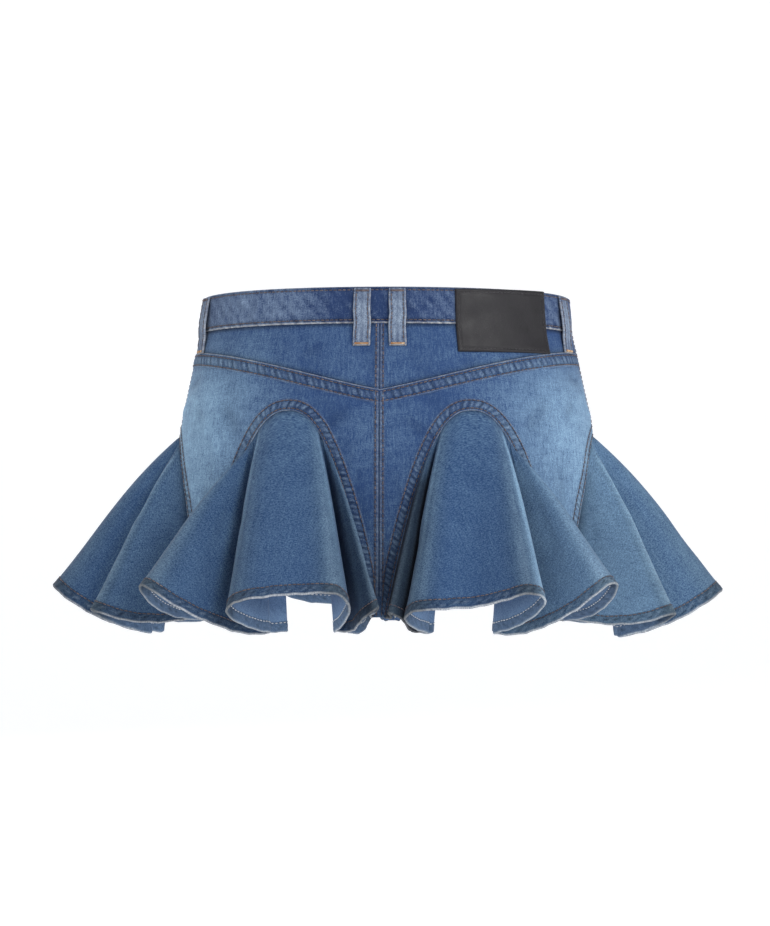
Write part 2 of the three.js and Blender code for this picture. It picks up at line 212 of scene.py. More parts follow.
def open_group(name: str, numbers: dict[str, float], colours: dict[str, Colour], vectors: Sequence[str],
               outputs: dict[str, str]) -> tuple[NodeSheet, Node, Node]:
    """Starts a shader group.

    Args:
        name: The group's name.
        numbers: Its number inputs, with what each is at first.
        colours: Its colour inputs, with what each is at first.
        vectors: Its vector inputs.
        outputs: Its outputs, each with Color or Float.

    Returns:
        Its sheet, and its input and output nodes.
    """
    tree = bpy.data.node_groups.new(name, "ShaderNodeTree")
    for key in vectors:
        tree.interface.new_socket(key, in_out="INPUT", socket_type="NodeSocketVector")
    for key, value in numbers.items():
        socket = tree.interface.new_socket(key, in_out="INPUT", socket_type="NodeSocketFloat")
        socket.default_value = value
    for key, value in colours.items():
        socket = tree.interface.new_socket(key, in_out="INPUT", socket_type="NodeSocketColor")
        socket.default_value = (*value, 1)
    for key, kind in outputs.items():
        tree.interface.new_socket(key, in_out="OUTPUT", socket_type=f"NodeSocket{kind}")
    return NodeSheet(tree), tree.nodes.new("NodeGroupInput"), tree.nodes.new("NodeGroupOutput")


def twill_weave() -> NodeTree:
    """Denim's twill: slubby warp streaks, pale weft specks and slanting ribs, on a place in decimetres.

    Returns:
        The group, made once. Tone is how much it lightens the cloth, and Height is its relief.
    """
    found = bpy.data.node_groups.get(SharedEffect.TWILL.value)
    if found:
        return found
    sheet, given, out = open_group(
        SharedEffect.TWILL.value, {"Streaks": 0.1, "Specks": 0.08, "Wisps": 0.0}, {}, ["Place"],
        {"Tone": "Float", "Height": "Float"},
    )
    place = given.outputs["Place"]
    streak = sheet.noise(sheet.stretch(place, 78, 17), 3)
    slub = sheet.noise(sheet.stretch(place, 34, 6), 1)
    speck = sheet.noise(sheet.stretch(place, 96, 112), 2)
    weft = sheet.noise(sheet.stretch(place, 36, 78), 2)
    cloud = sheet.noise(sheet.stretch(place, 5, 4), 3)
    wisp = sheet.times(sheet.noise(sheet.stretch(place, 5, 19), 3), given.outputs["Wisps"])
    x, y, _ = sheet.parts(place)
    slant = sheet.plus(x, sheet.times(y, 0.8))
    rib = sheet.math("SINE", sheet.times(slant, 2 * math.pi * 90))
    warp = sheet.plus(streak, sheet.times(slub, 0.5))
    tone = sheet.times(warp, given.outputs["Streaks"])
    crossing = sheet.plus(speck, sheet.times(weft, 0.45))
    fleck = sheet.times(sheet.plus(crossing, sheet.times(rib, 0.25)), given.outputs["Specks"])
    soft = sheet.plus(sheet.times(cloud, 0.03), wisp)
    tone = sheet.plus(sheet.plus(tone, fleck), soft)
    height = sheet.plus(sheet.times(rib, 0.5), sheet.times(streak, 0.5))
    sheet.feed(out, Tone=tone, Height=sheet.plus(height, sheet.times(speck, 0.4)))
    return sheet.tree


def wear_and_painted_shade() -> NodeTree:
    """Turns a cloth's fade, rubbed edges and painted shade into its colour.

    Returns:
        The group, made once. Its first input is what the mesh's colour attribute holds: fade, rubbed edge and
        painted shade.
    """
    found = bpy.data.node_groups.get(SharedEffect.WEAR_AND_SHADE.value)
    if found:
        return found
    sheet, given, out = open_group(
        SharedEffect.WEAR_AND_SHADE.value, {"Tone": 0.0, "Rubbing": 0.6, "Depth": 0.6},
        {"Deep": srgb(50, 72, 110), "Faded": srgb(150, 178, 205), "Rubbed": srgb(190, 200, 210)},
        ["Wear"], {"Color": "Color", "Mask": "Float"},
    )
    faded, edge, shade = sheet.parts(given.outputs["Wear"])
    gain = sheet.plus(sheet.times(faded, 2.4), 0.75)
    fade = sheet.plus(faded, sheet.times(given.outputs["Tone"], gain), clamp=True)
    cloth = sheet.mix(fade, given.outputs["Deep"], given.outputs["Faded"])
    broken = sheet.plus(sheet.times(given.outputs["Tone"], 2.5), 0.85)
    rubbed = sheet.times(sheet.times(edge, given.outputs["Rubbing"]), broken, clamp=True)
    cloth = sheet.mix(rubbed, cloth, given.outputs["Rubbed"])
    # Painted shade: the attribute's third part darkens the cloth in creases, valleys, grooves and under
    # folded edges.
    dark = sheet.math("SUBTRACT", 1.0, sheet.times(shade, given.outputs["Depth"]), clamp=True)
    grey = sheet.add("ShaderNodeCombineColor")
    sheet.feed(grey, Red=dark, Green=dark, Blue=dark)
    sheet.feed(out, Color=sheet.mix(1.0, cloth, grey.outputs[0], "MULTIPLY"), Mask=rubbed)
    return sheet.tree


def leather_grain() -> NodeTree:
    """Fine pebbling and soft scuffs, on a place in decimetres.

    Returns:
        The group, made once. Height is its relief, and Scuff where it has gone dull.
    """
    found = bpy.data.node_groups.get(SharedEffect.GRAIN.value)
    if found:
        return found
    sheet, given, out = open_group(SharedEffect.GRAIN.value, {"Pebbles": 120.0}, {}, ["Place"],
                                   {"Height": "Float", "Scuff": "Float"})
    cells = sheet.add("ShaderNodeTexVoronoi", voronoi_dimensions="2D", feature="F1")
    sheet.feed(cells, Vector=given.outputs["Place"], Scale=given.outputs["Pebbles"])
    wide = sheet.noise(sheet.stretch(given.outputs["Place"], 14, 9), 4)
    fine = sheet.noise(sheet.stretch(given.outputs["Place"], 160, 160), 2)
    height = sheet.plus(cells.outputs[0], sheet.times(fine, 0.12))
    sheet.feed(out, Height=height, Scuff=sheet.plus(sheet.times(wide, 0.4), 0.4, clamp=True))
    return sheet.tree


@dataclass(frozen=True)
class Finish:
    """A finish, which is made as a material once."""

    name: str

    def material(self) -> bpy.types.Material:
        """The finish as a material."""
        found = bpy.data.materials.get(self.name)
        if found:
            return found
        material = bpy.data.materials.new(self.name)
        material.use_nodes = True
        self.dress(NodeSheet(material.node_tree), material.node_tree.nodes["Principled BSDF"])
        return material

    def dress(self, sheet: NodeSheet, shader: Node) -> None:
        """Adds the nodes that feed the material's shader."""
        raise NotImplementedError


@dataclass(frozen=True)
class Denim(Finish):
    """A face of denim: its deep, faded and rubbed colours, and how slubby it is."""

    deep: Colour
    faded: Colour
    rubbed: Colour
    streaks: float = 0.065
    specks: float = 0.1
    wisps: float = 0.0
    rubbing: float = 0.75
    # How strongly the painted shade darkens this cloth.
    depth: float = 0.8
    relief: float = 0.3

    def dress(self, sheet: NodeSheet, shader: Node) -> None:
        """Adds the nodes that feed the material's shader."""
        grain = sheet.add("ShaderNodeUVMap", uv_map="Grain")
        worn = sheet.add("ShaderNodeAttribute", attribute_name="Wear")
        weave = sheet.add("ShaderNodeGroup", node_tree=twill_weave())
        sheet.feed(weave, Place=grain.outputs[0], Streaks=self.streaks, Specks=self.specks, Wisps=self.wisps)
        wear_and_shade = sheet.add("ShaderNodeGroup", node_tree=wear_and_painted_shade())
        sheet.feed(wear_and_shade, Wear=worn.outputs["Vector"], Tone=weave.outputs["Tone"], Rubbing=self.rubbing,
                   Depth=self.depth, Deep=(*self.deep, 1), Faded=(*self.faded, 1), Rubbed=(*self.rubbed, 1))
        rough = sheet.plus(sheet.times(wear_and_shade.outputs["Mask"], 0.08), 0.86)
        sheet.feed(shader, Base_Color=wear_and_shade.outputs["Color"], Roughness=rough,
                   Normal=sheet.bump(weave.outputs["Height"], self.relief, 0.0004))
        shader.inputs["Sheen Weight"].default_value = 0.04
        shader.inputs["Sheen Roughness"].default_value = 0.5
        shader.inputs["Specular IOR Level"].default_value = 0.12


@dataclass(frozen=True)
class Leather(Finish):
    """Smooth dyed leather."""

    colour: Colour
    scuffed: Colour

    def dress(self, sheet: NodeSheet, shader: Node) -> None:
        """Adds the nodes that feed the material's shader."""
        grain = sheet.add("ShaderNodeUVMap", uv_map="Grain")
        worn = sheet.add("ShaderNodeAttribute", attribute_name="Wear")
        effect = sheet.add("ShaderNodeGroup", node_tree=leather_grain())
        sheet.feed(effect, Place=grain.outputs[0], Pebbles=130.0)
        edge = sheet.parts(worn.outputs["Vector"])[1]
        share = sheet.plus(sheet.times(effect.outputs["Scuff"], 0.35), sheet.times(edge, 0.6), clamp=True)
        sheet.feed(shader, Base_Color=sheet.mix(share, (*self.colour, 1), (*self.scuffed, 1)),
                   Roughness=sheet.plus(sheet.times(effect.outputs["Scuff"], 0.18), 0.42),
                   Normal=sheet.bump(effect.outputs["Height"], 0.25, 0.0003))
        shader.inputs["Specular IOR Level"].default_value = 0.28


@dataclass(frozen=True)
class Thread(Finish):
    """Sewing thread: its colour, and how a stitch of it is."""

    colour: Colour
    pale: Colour
    radius: float = 0.36
    length: float = 2.9
    gap: float = 0.75

    def dress(self, sheet: NodeSheet, shader: Node) -> None:
        """Adds the nodes that feed the material's shader."""
        place = sheet.add("ShaderNodeTexCoord").outputs["Object"]
        blotch = sheet.add("ShaderNodeTexNoise")
        sheet.feed(blotch, Vector=place, Scale=260.0, Detail=2.0)
        twist = sheet.add("ShaderNodeTexWave", wave_type="BANDS", bands_direction="DIAGONAL")
        sheet.feed(twist, Vector=place, Scale=900.0)
        share = sheet.times(sheet.math("SUBTRACT", blotch.outputs[0], 0.42), 3.0, clamp=True)
        sheet.feed(shader, Base_Color=sheet.mix(share, (*self.colour, 1), (*self.pale, 1)), Roughness=0.75,
                   Normal=sheet.bump(twist.outputs[1], 0.3, 0.0001))


@dataclass(frozen=True)
class AgedMetal(Finish):
    """Cast metal, dulled in random patches."""

    bright: Colour
    dull: Colour

    def dress(self, sheet: NodeSheet, shader: Node) -> None:
        """Adds the nodes that feed the material's shader."""
        place = sheet.add("ShaderNodeTexCoord").outputs["Object"]
        stain = sheet.add("ShaderNodeTexNoise")
        sheet.feed(stain, Vector=place, Scale=320.0, Detail=5.0)
        share = sheet.times(sheet.math("SUBTRACT", stain.outputs[0], 0.4), 3.5, clamp=True)
        sheet.feed(shader, Base_Color=sheet.mix(share, (*self.bright, 1), (*self.dull, 1)),
                   Roughness=sheet.plus(sheet.times(share, 0.25), 0.3),
                   Normal=sheet.bump(stain.outputs[0], 0.1, 0.0002))
        shader.inputs["Metallic"].default_value = 1.0


@dataclass(frozen=True)
class StudioPaint(Finish):
    """The matt pale paint of the floor, lit a little from within as a light wall is."""

    name: str = "studio_floor"
    colour: Colour = (0.86, 0.865, 0.875)
    glow: float = 0.3

    def dress(self, sheet: NodeSheet, shader: Node) -> None:
        """Adds the nodes that feed the material's shader."""
        cloud = sheet.add("ShaderNodeTexNoise")
        sheet.feed(cloud, Scale=3.0, Detail=3.0)
        share = sheet.times(cloud.outputs[0], 0.05)
        sheet.feed(shader, Base_Color=sheet.mix(share, (*self.colour, 1), (0.8, 0.8, 0.8, 1)), Roughness=0.9)
        shader.inputs["Specular IOR Level"].default_value = 0.1
        shader.inputs["Emission Color"].default_value = (1, 1, 1, 1)
        shader.inputs["Emission Strength"].default_value = self.glow


OUTSIDE = Denim("denim_outside", srgb(36, 59, 98), srgb(146, 180, 205), srgb(170, 172, 172), wisps=0.04)
GODET_OUTSIDE = Denim("denim_godets", srgb(35, 60, 96), srgb(142, 178, 205), srgb(206, 210, 214),
                      streaks=0.035, specks=0.13)
BAND_OUTSIDE = Denim("denim_waistband", srgb(32, 50, 86), srgb(154, 176, 200), srgb(176, 176, 174),
                     wisps=0.05)
LOOP_OUTSIDE = Denim("denim_loops", srgb(44, 60, 94), srgb(162, 178, 194), srgb(174, 172, 168), specks=0.12)
INSIDE = Denim("denim_inside", srgb(44, 66, 106), srgb(140, 172, 206), srgb(206, 212, 216),
               streaks=0.04, specks=0.08)
PATCH_LEATHER = Leather("patch_leather", srgb(14, 13, 17), srgb(35, 32, 38))
RUST = Thread("rust_thread", srgb(64, 56, 62), srgb(112, 98, 96), radius=0.4, length=3.0, gap=0.6)
AMBER = Thread("amber_thread", srgb(148, 106, 66), srgb(214, 192, 162), radius=0.34, length=2.4, gap=0.2)
CHAIN = Thread("pale_thread", srgb(186, 192, 200), srgb(214, 216, 218), radius=0.42, length=2.0, gap=1.6)
DARK = Thread("dark_thread", srgb(42, 40, 45), srgb(60, 57, 62), radius=0.25, length=2.4, gap=0.7)
TAPE = Denim("zip_tape", srgb(30, 36, 54), srgb(70, 78, 100), srgb(110, 116, 130), rubbing=0.2)
BRASS = AgedMetal("aged_brass", srgb(156, 128, 88), srgb(92, 74, 52))


# Meshes


def quads(rows: int, columns: int) -> Array:
    """The quads of a grid whose points run row by row."""
    a = np.arange(rows * columns).reshape(rows, columns)[:-1, :-1].ravel()
    return np.stack([a, a + 1, a + columns + 1, a + columns], 1)


def make_object(name: str, points: Array, faces: Array, finishes: Sequence[Finish],
                which: Optional[Array] = None, grain: Optional[Array] = None,
                wear_and_shade: Optional[Array] = None) -> Piece:
    """Makes a smooth mesh of quads that rides on the frame.

    Args:
        name: The object's name.
        points: Its points, in millimetres.
        faces: The four corners of each face.
        finishes: Its finishes.
        which: The finish of each face.
        grain: Each point's place on the flat cloth, in millimetres.
        wear_and_shade: Each point's fade, edge and shade.

    Returns:
        The object.
    """
    mesh = bpy.data.meshes.new(name)
    points = points.reshape(-1, 3)
    faces = np.ascontiguousarray(faces, dtype=np.int32)
    mesh.vertices.add(len(points))
    mesh.vertices.foreach_set("co", (points * MM).astype(np.float32).ravel())
    mesh.loops.add(faces.size)
    mesh.loops.foreach_set("vertex_index", faces.ravel())
    mesh.polygons.add(len(faces))
    mesh.polygons.foreach_set("loop_start", np.arange(0, faces.size, 4, dtype=np.int32))
    mesh.polygons.foreach_set("use_smooth", np.ones(len(faces), dtype=bool))
    if which is not None:
        mesh.polygons.foreach_set("material_index", which.astype(np.int32))
    mesh.update(calc_edges=True)
    if grain is not None:
        layer = mesh.uv_layers.new(name="Grain")
        layer.data.foreach_set("uv", (grain.reshape(-1, 2)[faces.ravel()] / 100).astype(np.float32).ravel())
    # The colour attribute holds fade, rubbed edge and painted shade.
    if wear_and_shade is not None:
        worn = np.clip(wear_and_shade.reshape(-1, 3), 0, 1)
        colours = np.concatenate([worn, np.ones((len(worn), 1))], 1)
        layer = mesh.color_attributes.new("Wear", "FLOAT_COLOR", "POINT")
        layer.data.foreach_set("color", colours.astype(np.float32).ravel())
    for finish in finishes:
        mesh.materials.append(finish.material())
    made = bpy.data.objects.new(name, mesh)
    bpy.context.scene.collection.objects.link(made)
    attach(made, "root")
    return made


def layered(*values: Array) -> Array:
    """The values side by side at each point, such as its fade, edge and shade."""
    return np.stack(np.broadcast_arrays(*values), -1).astype(float)


def cloth_place(across: Array, down: Array) -> Array:
    """Each point's place on flat cloth."""
    return layered(across, -down)


def signed_volume(points: Array, faces: Array) -> float:
    """Negative where a closed mesh's faces point in."""
    a, b, c, d = (points[faces[:, k]] for k in range(4))
    return float((a * np.cross(b, c)).sum() + (a * np.cross(c, d)).sum())


def outward_faces(points: Array, faces: Array, way: int) -> Array:
    """Turns a strip's faces out of the skirt, or into it where way is -1."""
    corner = points.reshape(-1, 3)[faces]
    facing = np.cross(corner[:, 1] - corner[:, 0], corner[:, 3] - corner[:, 0])
    out = (facing[:, :2] * corner[:, 0, :2]).sum() * way
    return faces if out > 0 else faces[:, ::-1]


def sheet_area(grid: Array) -> float:
    """The area of a grid of points, in square millimetres."""
    a, b, c, d = grid[:-1, :-1], grid[:-1, 1:], grid[1:, 1:], grid[1:, :-1]
    halves = np.linalg.norm(np.cross(b - a, c - a), axis=-1) + np.linalg.norm(np.cross(c - a, d - a), axis=-1)
    return float(halves.sum() / 2)


@dataclass
class ClothShell:
    """A thin closed wall of cloth between two grids of points, with a rounded rim."""

    outer: Array
    inner: Array
    grain: Array
    wear_and_shade: Array
    inner_wear_and_shade: Optional[Array] = None
    rim: float = 0.45
    rim_edge: float = 0.8

    def build(self, name: str, outside: Finish, inside: Finish) -> Piece:
        """Makes the shell.

        Args:
            name: The object's name.
            outside: The finish of its outer face and rim.
            inside: The finish of its inner face.

        Returns:
            The object.
        """
        rows, columns = self.outer.shape[:2]
        index = np.arange(rows * columns).reshape(rows, columns)
        loop = np.concatenate([index[0], index[1:, -1], index[-1, -2::-1], index[-2:0:-1, 0]])
        middle = (self.outer + self.inner) / 2
        row, column = loop // columns, loop % columns
        near = middle[np.clip(row, 1, rows - 2), np.clip(column, 1, columns - 2)]
        away = unit(middle[row, column] - near)
        thick = np.linalg.norm(self.outer - self.inner, axis=-1)[row, column][:, None]
        edge = middle[row, column] + away * thick * self.rim
        count = rows * columns
        points = np.concatenate([self.outer.reshape(-1, 3), self.inner.reshape(-1, 3), edge])
        face = quads(rows, columns)
        ring = np.arange(len(loop)) + 2 * count
        after, ring_after = np.roll(loop, -1), np.roll(ring, -1)
        faces = np.concatenate([
            face,
            face[:, [0, 3, 2, 1]] + count,
            np.stack([after, loop, ring, ring_after], 1),
            np.stack([loop + count, after + count, ring_after, ring], 1),
        ])
        if signed_volume(points, faces) < 0:
            faces = faces[:, ::-1]
        which = np.zeros(len(faces), int)
        which[len(face):2 * len(face)] = 1
        inner_wear_and_shade = self.wear_and_shade if self.inner_wear_and_shade is None else self.inner_wear_and_shade
        rim_wear_and_shade = self.wear_and_shade.reshape(-1, 3)[loop].copy()
        rim_wear_and_shade[:, 1] = np.maximum(rim_wear_and_shade[:, 1], self.rim_edge)
        wear_and_shade = np.concatenate([self.wear_and_shade.reshape(-1, 3), inner_wear_and_shade.reshape(-1, 3), rim_wear_and_shade])
        flat = self.grain.reshape(-1, 2)
        return make_object(name, points, faces, [outside, inside], which,
                           np.concatenate([flat, flat, flat[loop]]), wear_and_shade)


# A stitch's rings: how far along it each is, and its width and height in threads
STITCH_RINGS = ((-0.5, 0.35, -0.9), (-0.34, 1.0, 0.25), (0.34, 1.0, 0.25), (0.5, 0.35, -0.9))
STITCH_CORNERS = ((1, 0), (0, 0.9), (-1, 0), (0, -0.9))
STITCH_LEAN, STITCH_UNEVENNESS = 0.05, 0.06


@dataclass
class StitchWork:
    """Rows of stitches of one thread, sewn into one mesh."""

    thread: Thread
    seed: int = 1
    parts: list[Array] = field(default_factory=list)

    def place(self, centre: Array, along: Array, up: Array, length: float) -> None:
        """Sews one stitch at each centre.

        Args:
            centre: Where each lies.
            along: The way that each runs.
            up: The way out of the cloth.
            length: How long they are.
        """
        rng = np.random.default_rng(self.seed + len(self.parts))
        across = unit(np.cross(up, along))
        lean = rng.normal(0, STITCH_LEAN, (len(centre), 1))
        along = unit(along + across * lean)
        across = unit(np.cross(up, along))
        size = 1 + rng.normal(0, STITCH_UNEVENNESS, (len(centre), 1))
        radius = self.thread.radius
        corners = []
        for share, wide, high in STITCH_RINGS:
            middle = centre + along * (share * length * size) + up * (high * radius)
            corners += [middle + (across * side + up * rise) * (wide * radius)
                        for side, rise in STITCH_CORNERS]
        self.parts.append(np.stack(corners, 1))

    def row(self, line: Array, up: Array, bare: float = 0.0, lift: float = 0.0) -> None:
        """Sews a row along a line.

        Args:
            line: The line's points.
            up: The way out of the cloth at each.
            bare: How much of the line is left bare at each end.
            lift: How far out of the cloth the row lies.
        """
        gaps = np.linalg.norm(np.diff(line, axis=0), axis=1)
        length = np.concatenate([[0], np.cumsum(gaps)])
        pitch = self.thread.length + self.thread.gap
        at = np.arange(bare + pitch / 2, length[-1] - bare - pitch / 2, pitch)

        def read(values: Array, place: Array) -> Array:
            """The values at places along the line."""
            return np.stack([np.interp(place, length, values[:, k]) for k in range(3)], 1)

        half = self.thread.length / 2
        along = unit(read(line, at + half) - read(line, at - half))
        out = read(up, at)
        out = unit(out - along * (out * along).sum(1, keepdims=True))
        self.place(read(line, at) + out * lift, along, out, self.thread.length)

    def build(self, name: str) -> Piece:
        """Makes every row as one object."""
        stitches = np.concatenate(self.parts)
        face = []
        for ring in range(3):
            for k in range(4):
                a, b = ring * 4 + k, ring * 4 + (k + 1) % 4
                face.append((a, a + 4, b + 4, b))
        face += [(0, 1, 2, 3), (15, 14, 13, 12)]
        faces = (np.arange(len(stitches))[:, None, None] * 16 + np.array(face)[None]).reshape(-1, 4)
        return make_object(name, stitches, faces, [self.thread])


@dataclass
class Cuts:
    """How large each cloth piece was cut, what it hangs from, and what is sewn on it."""

    cut: dict[str, tuple[Piece, tuple[float, float], Optional[float], str, list[str]]] = field(
        default_factory=dict
    )
    sewn: dict[str, list[Piece]] = field(default_factory=dict)

    def add(self, cloth: Piece, flat: tuple[float, float], area: Optional[float] = None,
            held: str = "hung", rests_on: Sequence[str] = ()) -> None:
        """Notes a piece's flat size in metres, its flat area, how it is held and what it hangs from."""
        self.cut[cloth.name] = (cloth, flat, area, held, list(rests_on))

    def sew_on(self, cloth: str, *pieces: Piece) -> None:
        """Notes what is sewn on a piece."""
        self.sewn.setdefault(cloth, []).extend(pieces)

    def declare(self) -> None:
        """Logs how many cloth pieces were noted."""
        LOG.info("%d cloth pieces declared", len(self.cut))


# The body


@dataclass(frozen=True)
class Crease:
    """A soft trough or ridge on the body: where its middle is, its size, its lean and its height."""

    turn: float
    drop: float
    length: float
    width: float
    lean: float
    height: float


BODY_CREASES = tuple(Crease(*row) for row in (
    (16, 104, 52, 11, 62, -0.9), (10, 150, 60, 10, 18, 0.8), (-14, 112, 58, 12, -58, -1.0),
    (-8, 160, 64, 9, -14, 0.8), (34, 84, 40, 9, 82, 0.5), (-36, 82, 44, 10, -84, 0.5),
    (52, 100, 46, 10, -46, -1.1), (58, 118, 60, 11, -38, 1.0), (66, 96, 38, 9, -60, -0.8),
    (-53, 98, 50, 11, 48, -1.1), (-60, 120, 62, 12, 36, 1.1), (-68, 92, 40, 9, 58, -0.8),
    (76, 70, 46, 9, 80, -0.8), (-78, 68, 50, 10, -78, -0.9), (84, 88, 34, 8, 70, 0.7),
    (-86, 90, 36, 8, -72, 0.7), (60, 150, 70, 10, 8, -0.9), (-61, 156, 74, 10, -6, -0.9),
    (24, 48, 36, 8, 78, -0.5), (-30, 58, 38, 9, -80, -0.4), (44, 54, 40, 9, 72, 0.5),
    (120, 70, 70, 12, 70, -1.1), (132, 92, 60, 11, 58, 0.9), (-124, 74, 74, 12, -68, -1.1),
    (-136, 96, 58, 11, -54, 0.9), (150, 60, 52, 10, 76, -0.8), (-154, 64, 48, 10, -74, -0.8),
    (165, 130, 66, 11, 24, 0.9), (-168, 136, 70, 11, -20, 0.9), (172, 100, 44, 9, 64, -0.8),
    (-110, 140, 80, 11, 8, -0.9), (112, 146, 76, 11, -10, -0.9), (100, 60, 44, 9, -72, 0.7),
    (18, 14, 24, 6, 10, 0.5), (-24, 13, 26, 7, -8, -0.5), (33, 15, 25, 6, -12, -0.5),
    (46, 12, 24, 6, 14, 0.6), (60, 14, 26, 7, -6, -0.5), (-92, 13, 26, 7, 8, 0.5),
    (110, 14, 26, 7, 12, -0.6), (-118, 12, 26, 7, -10, 0.6), (158, 13, 26, 7, 9, 0.5),
))


@dataclass(frozen=True)
class Body:
    """The worn skirt's body: rings round the wearer, tilted down a little at the front."""

    band_height: float = 27.0
    cloth: float = 1.2
    band_cloth: float = 2.6
    gap: float = 0.3
    tilt: float = 0.06
    squareness: float = 0.04
    evenness: float = 0.11
    corner_evenness: float = 0.008
    drops: tuple[float, ...] = (0, 27, 45, 72, 100, 145, 255)
    widths: tuple[float, ...] = (145.5, 147.5, 151.5, 157.5, 163, 166.5, 167.5)
    backs: tuple[float, ...] = (94, 96, 98.5, 103, 106, 108, 109)
    fronts: tuple[float, ...] = (90, 91, 93, 96, 99, 102, 104)
    yoke_back_drop: float = 79.5
    yoke_side_drop: float = 43.5
    hem_drop: float = 254.0
    grain_scale: float = 2.75
    crease_scale: float = 2.7
    crease_depth: float = 1.3
    unevenness: float = 0.35

    def ring(self, turn: Array, drop: Array) -> Array:
        """The plan of the body at turns and drops."""
        turn, drop = np.broadcast_arrays(np.asarray(turn, float), np.asarray(drop, float))
        around = np.radians(turn)
        angle = around - self.evenness * np.sin(2 * around) + self.corner_evenness * np.sin(4 * around)
        across, along = np.sin(angle), np.cos(angle)
        width = smooth_table(self.drops, self.widths, drop)
        back = smooth_table(self.drops, self.backs, drop)
        front = smooth_table(self.drops, self.fronts, drop)
        depth = np.where(along < 0, front, back)
        return np.stack([
            width * across * (1 + self.squareness * along**2),
            depth * along * (1 + self.squareness * across**2),
        ], -1)

    def outward(self, turn: Array, drop: Array) -> Array:
        """The level way out of the body."""
        along = unit(self.ring(np.asarray(turn) + 0.5, drop) - self.ring(np.asarray(turn) - 0.5, drop))
        return np.stack([-along[..., 1], along[..., 0], np.zeros(along.shape[:-1])], -1)

    def girth(self, drop: float) -> float:
        """Millimetres along the cloth for a degree of turn, at the centre back."""
        return float(np.linalg.norm(self.ring(0.5, drop) - self.ring(-0.5, drop)))

    def around(self, low: float, high: float, drop: float) -> float:
        """Millimetres along the cloth between two turns."""
        line = self.ring(np.linspace(low, high, 200), drop)
        return float(np.linalg.norm(np.diff(line, axis=0), axis=1).sum())

    def creases(self, turn: Array, drop: Array) -> Array:
        """How far the cloth's creases lift it there."""
        turn, drop = np.broadcast_arrays(np.asarray(turn, float), np.asarray(drop, float))
        lift = self.unevenness * ripple(turn * 2.6 + drop * 0.4, 47, 11) * smoothstep(20, 60, drop)
        for crease in BODY_CREASES:
            x = ((turn - crease.turn + 180) % 360 - 180) * self.crease_scale
            y = drop - crease.drop
            lean = math.radians(crease.lean)
            run = (x * math.sin(lean) + y * math.cos(lean)) / (crease.length / 2)
            side = (x * math.cos(lean) - y * math.sin(lean)) / (crease.width / 2)
            ends = np.clip(1 - run**2, 0, 1) ** 2
            lift = lift + self.crease_depth * crease.height * np.exp(-side**2) * ends
        return lift

    def point(self, turn: Array, drop: Array, out: Array = 0.0) -> Array:
        """A point of the creased body, moved straight out from it."""
        turn, drop, out = np.broadcast_arrays(*(np.asarray(v, float) for v in (turn, drop, out)))
        plan = self.ring(turn, drop)
        height = self.band_height / 2 - drop + self.tilt * plan[..., 1]
        level = np.concatenate([plan, height[..., None]], -1)
        return level + self.outward(turn, drop) * (out + self.creases(turn, drop))[..., None]

    def yoke_drop(self, turn: Array) -> Array:
        """The drop of the yoke's V seam."""
        share = np.abs(np.sin(np.radians(turn))) ** 1.15
        return self.yoke_back_drop + (self.yoke_side_drop - self.yoke_back_drop) * share

    def fade(self, turn: Array, drop: Array) -> Array:
        """How faded the denim is there, with painted shade on the wearer's right hip."""
        turn, drop = np.broadcast_arrays(np.asarray(turn, float), np.asarray(drop, float))
        side = (turn + 180) % 360 - 180
        from_middle = np.minimum(np.abs(side), 180 - np.abs(side))
        hip = smoothstep(20, 78, from_middle)
        low = smoothstep(24, 92, drop) * (1 - 0.6 * smoothstep(140, 225, drop))
        rubbed = 0.06 * smoothstep(26, 4, from_middle)
        rubbed = rubbed * smoothstep(84, 100, drop) * smoothstep(170, 110, drop)
        pier = 0.08 * smoothstep(22, 6, from_middle) * smoothstep(150, 215, drop)
        # The last term is painted shade: it darkens the wearer's right hip, where the lamps fall stronger.
        return 0.025 + 0.52 * hip * low + 0.06 * hip + rubbed + pier - 0.13 * hip * smoothstep(10, -60, side)

    def grain(self, turn: Array, drop: Array) -> Array:
        """The place on flat cloth, in millimetres."""
        return cloth_place(turn * self.grain_scale, drop)


BODY = Body()
HIP_DROP = 100.0
SeamLine = Callable[[float], tuple[Array, Array]]


def sew_on_body(work: StitchWork, turn: Array, drop: Array, out: Array, bare: float = 0.0,
                lift: float = 0.16) -> None:
    """Sews a row along turns and drops of the body.

    Args:
        work: Takes the row.
        turn: Its turns.
        drop: Its drops.
        out: How far out the cloth's face lies there.
        bare: How much of the line is left bare at each end.
        lift: How far out of the cloth the row lies.
    """
    work.row(BODY.point(turn, drop, out), BODY.outward(turn, drop), bare, lift)


# Arches and godets

# From where on the crown (-1 to 1) each fold starts, and where it ends, across and out from the arch's centre
BACK_LEFT_FOLDS = (
    (-0.9, -68, 38), (-0.83, -75, 60), (-0.77, -64, 51), (-0.71, -49, 12), (-0.64, -40, 12),
    (-0.57, -54, 78), (-0.48, -45, 94), (0, -5, 86), (0.48, 31, 76), (0.57, 39, 62), (0.63, 11, 10),
    (0.69, 21, 8), (0.75, 54, 42), (0.81, 98, 58), (0.85, 106, 50), (0.9, 94, 14),
)
BACK_RIGHT_FOLDS = (
    (-0.9, -62, 40), (-0.83, -63, 58), (-0.77, -54, 51), (-0.7, -45, 11), (-0.64, -36, 10),
    (-0.58, -51, 60), (-0.48, -41, 72), (0, 2, 70), (0.48, 43, 84), (0.57, 54, 72), (0.63, 15, 10),
    (0.69, 25, 8), (0.75, 62, 40), (0.81, 100, 60), (0.85, 108, 52), (0.9, 95, 14),
)
SIDE_FOLDS = (
    (-0.78, -70, 26), (-0.56, -67, 60), (-0.46, -57, 56), (-0.37, -41, 18), (-0.31, -32, 19),
    (-0.22, -24, 70), (-0.12, -14, 94), (0, 0, 100), (0.14, 15, 92), (0.26, 25, 66), (0.34, 30, 18),
    (0.41, 40, 17), (0.5, 56, 54), (0.6, 68, 60), (0.8, 71, 26),
)


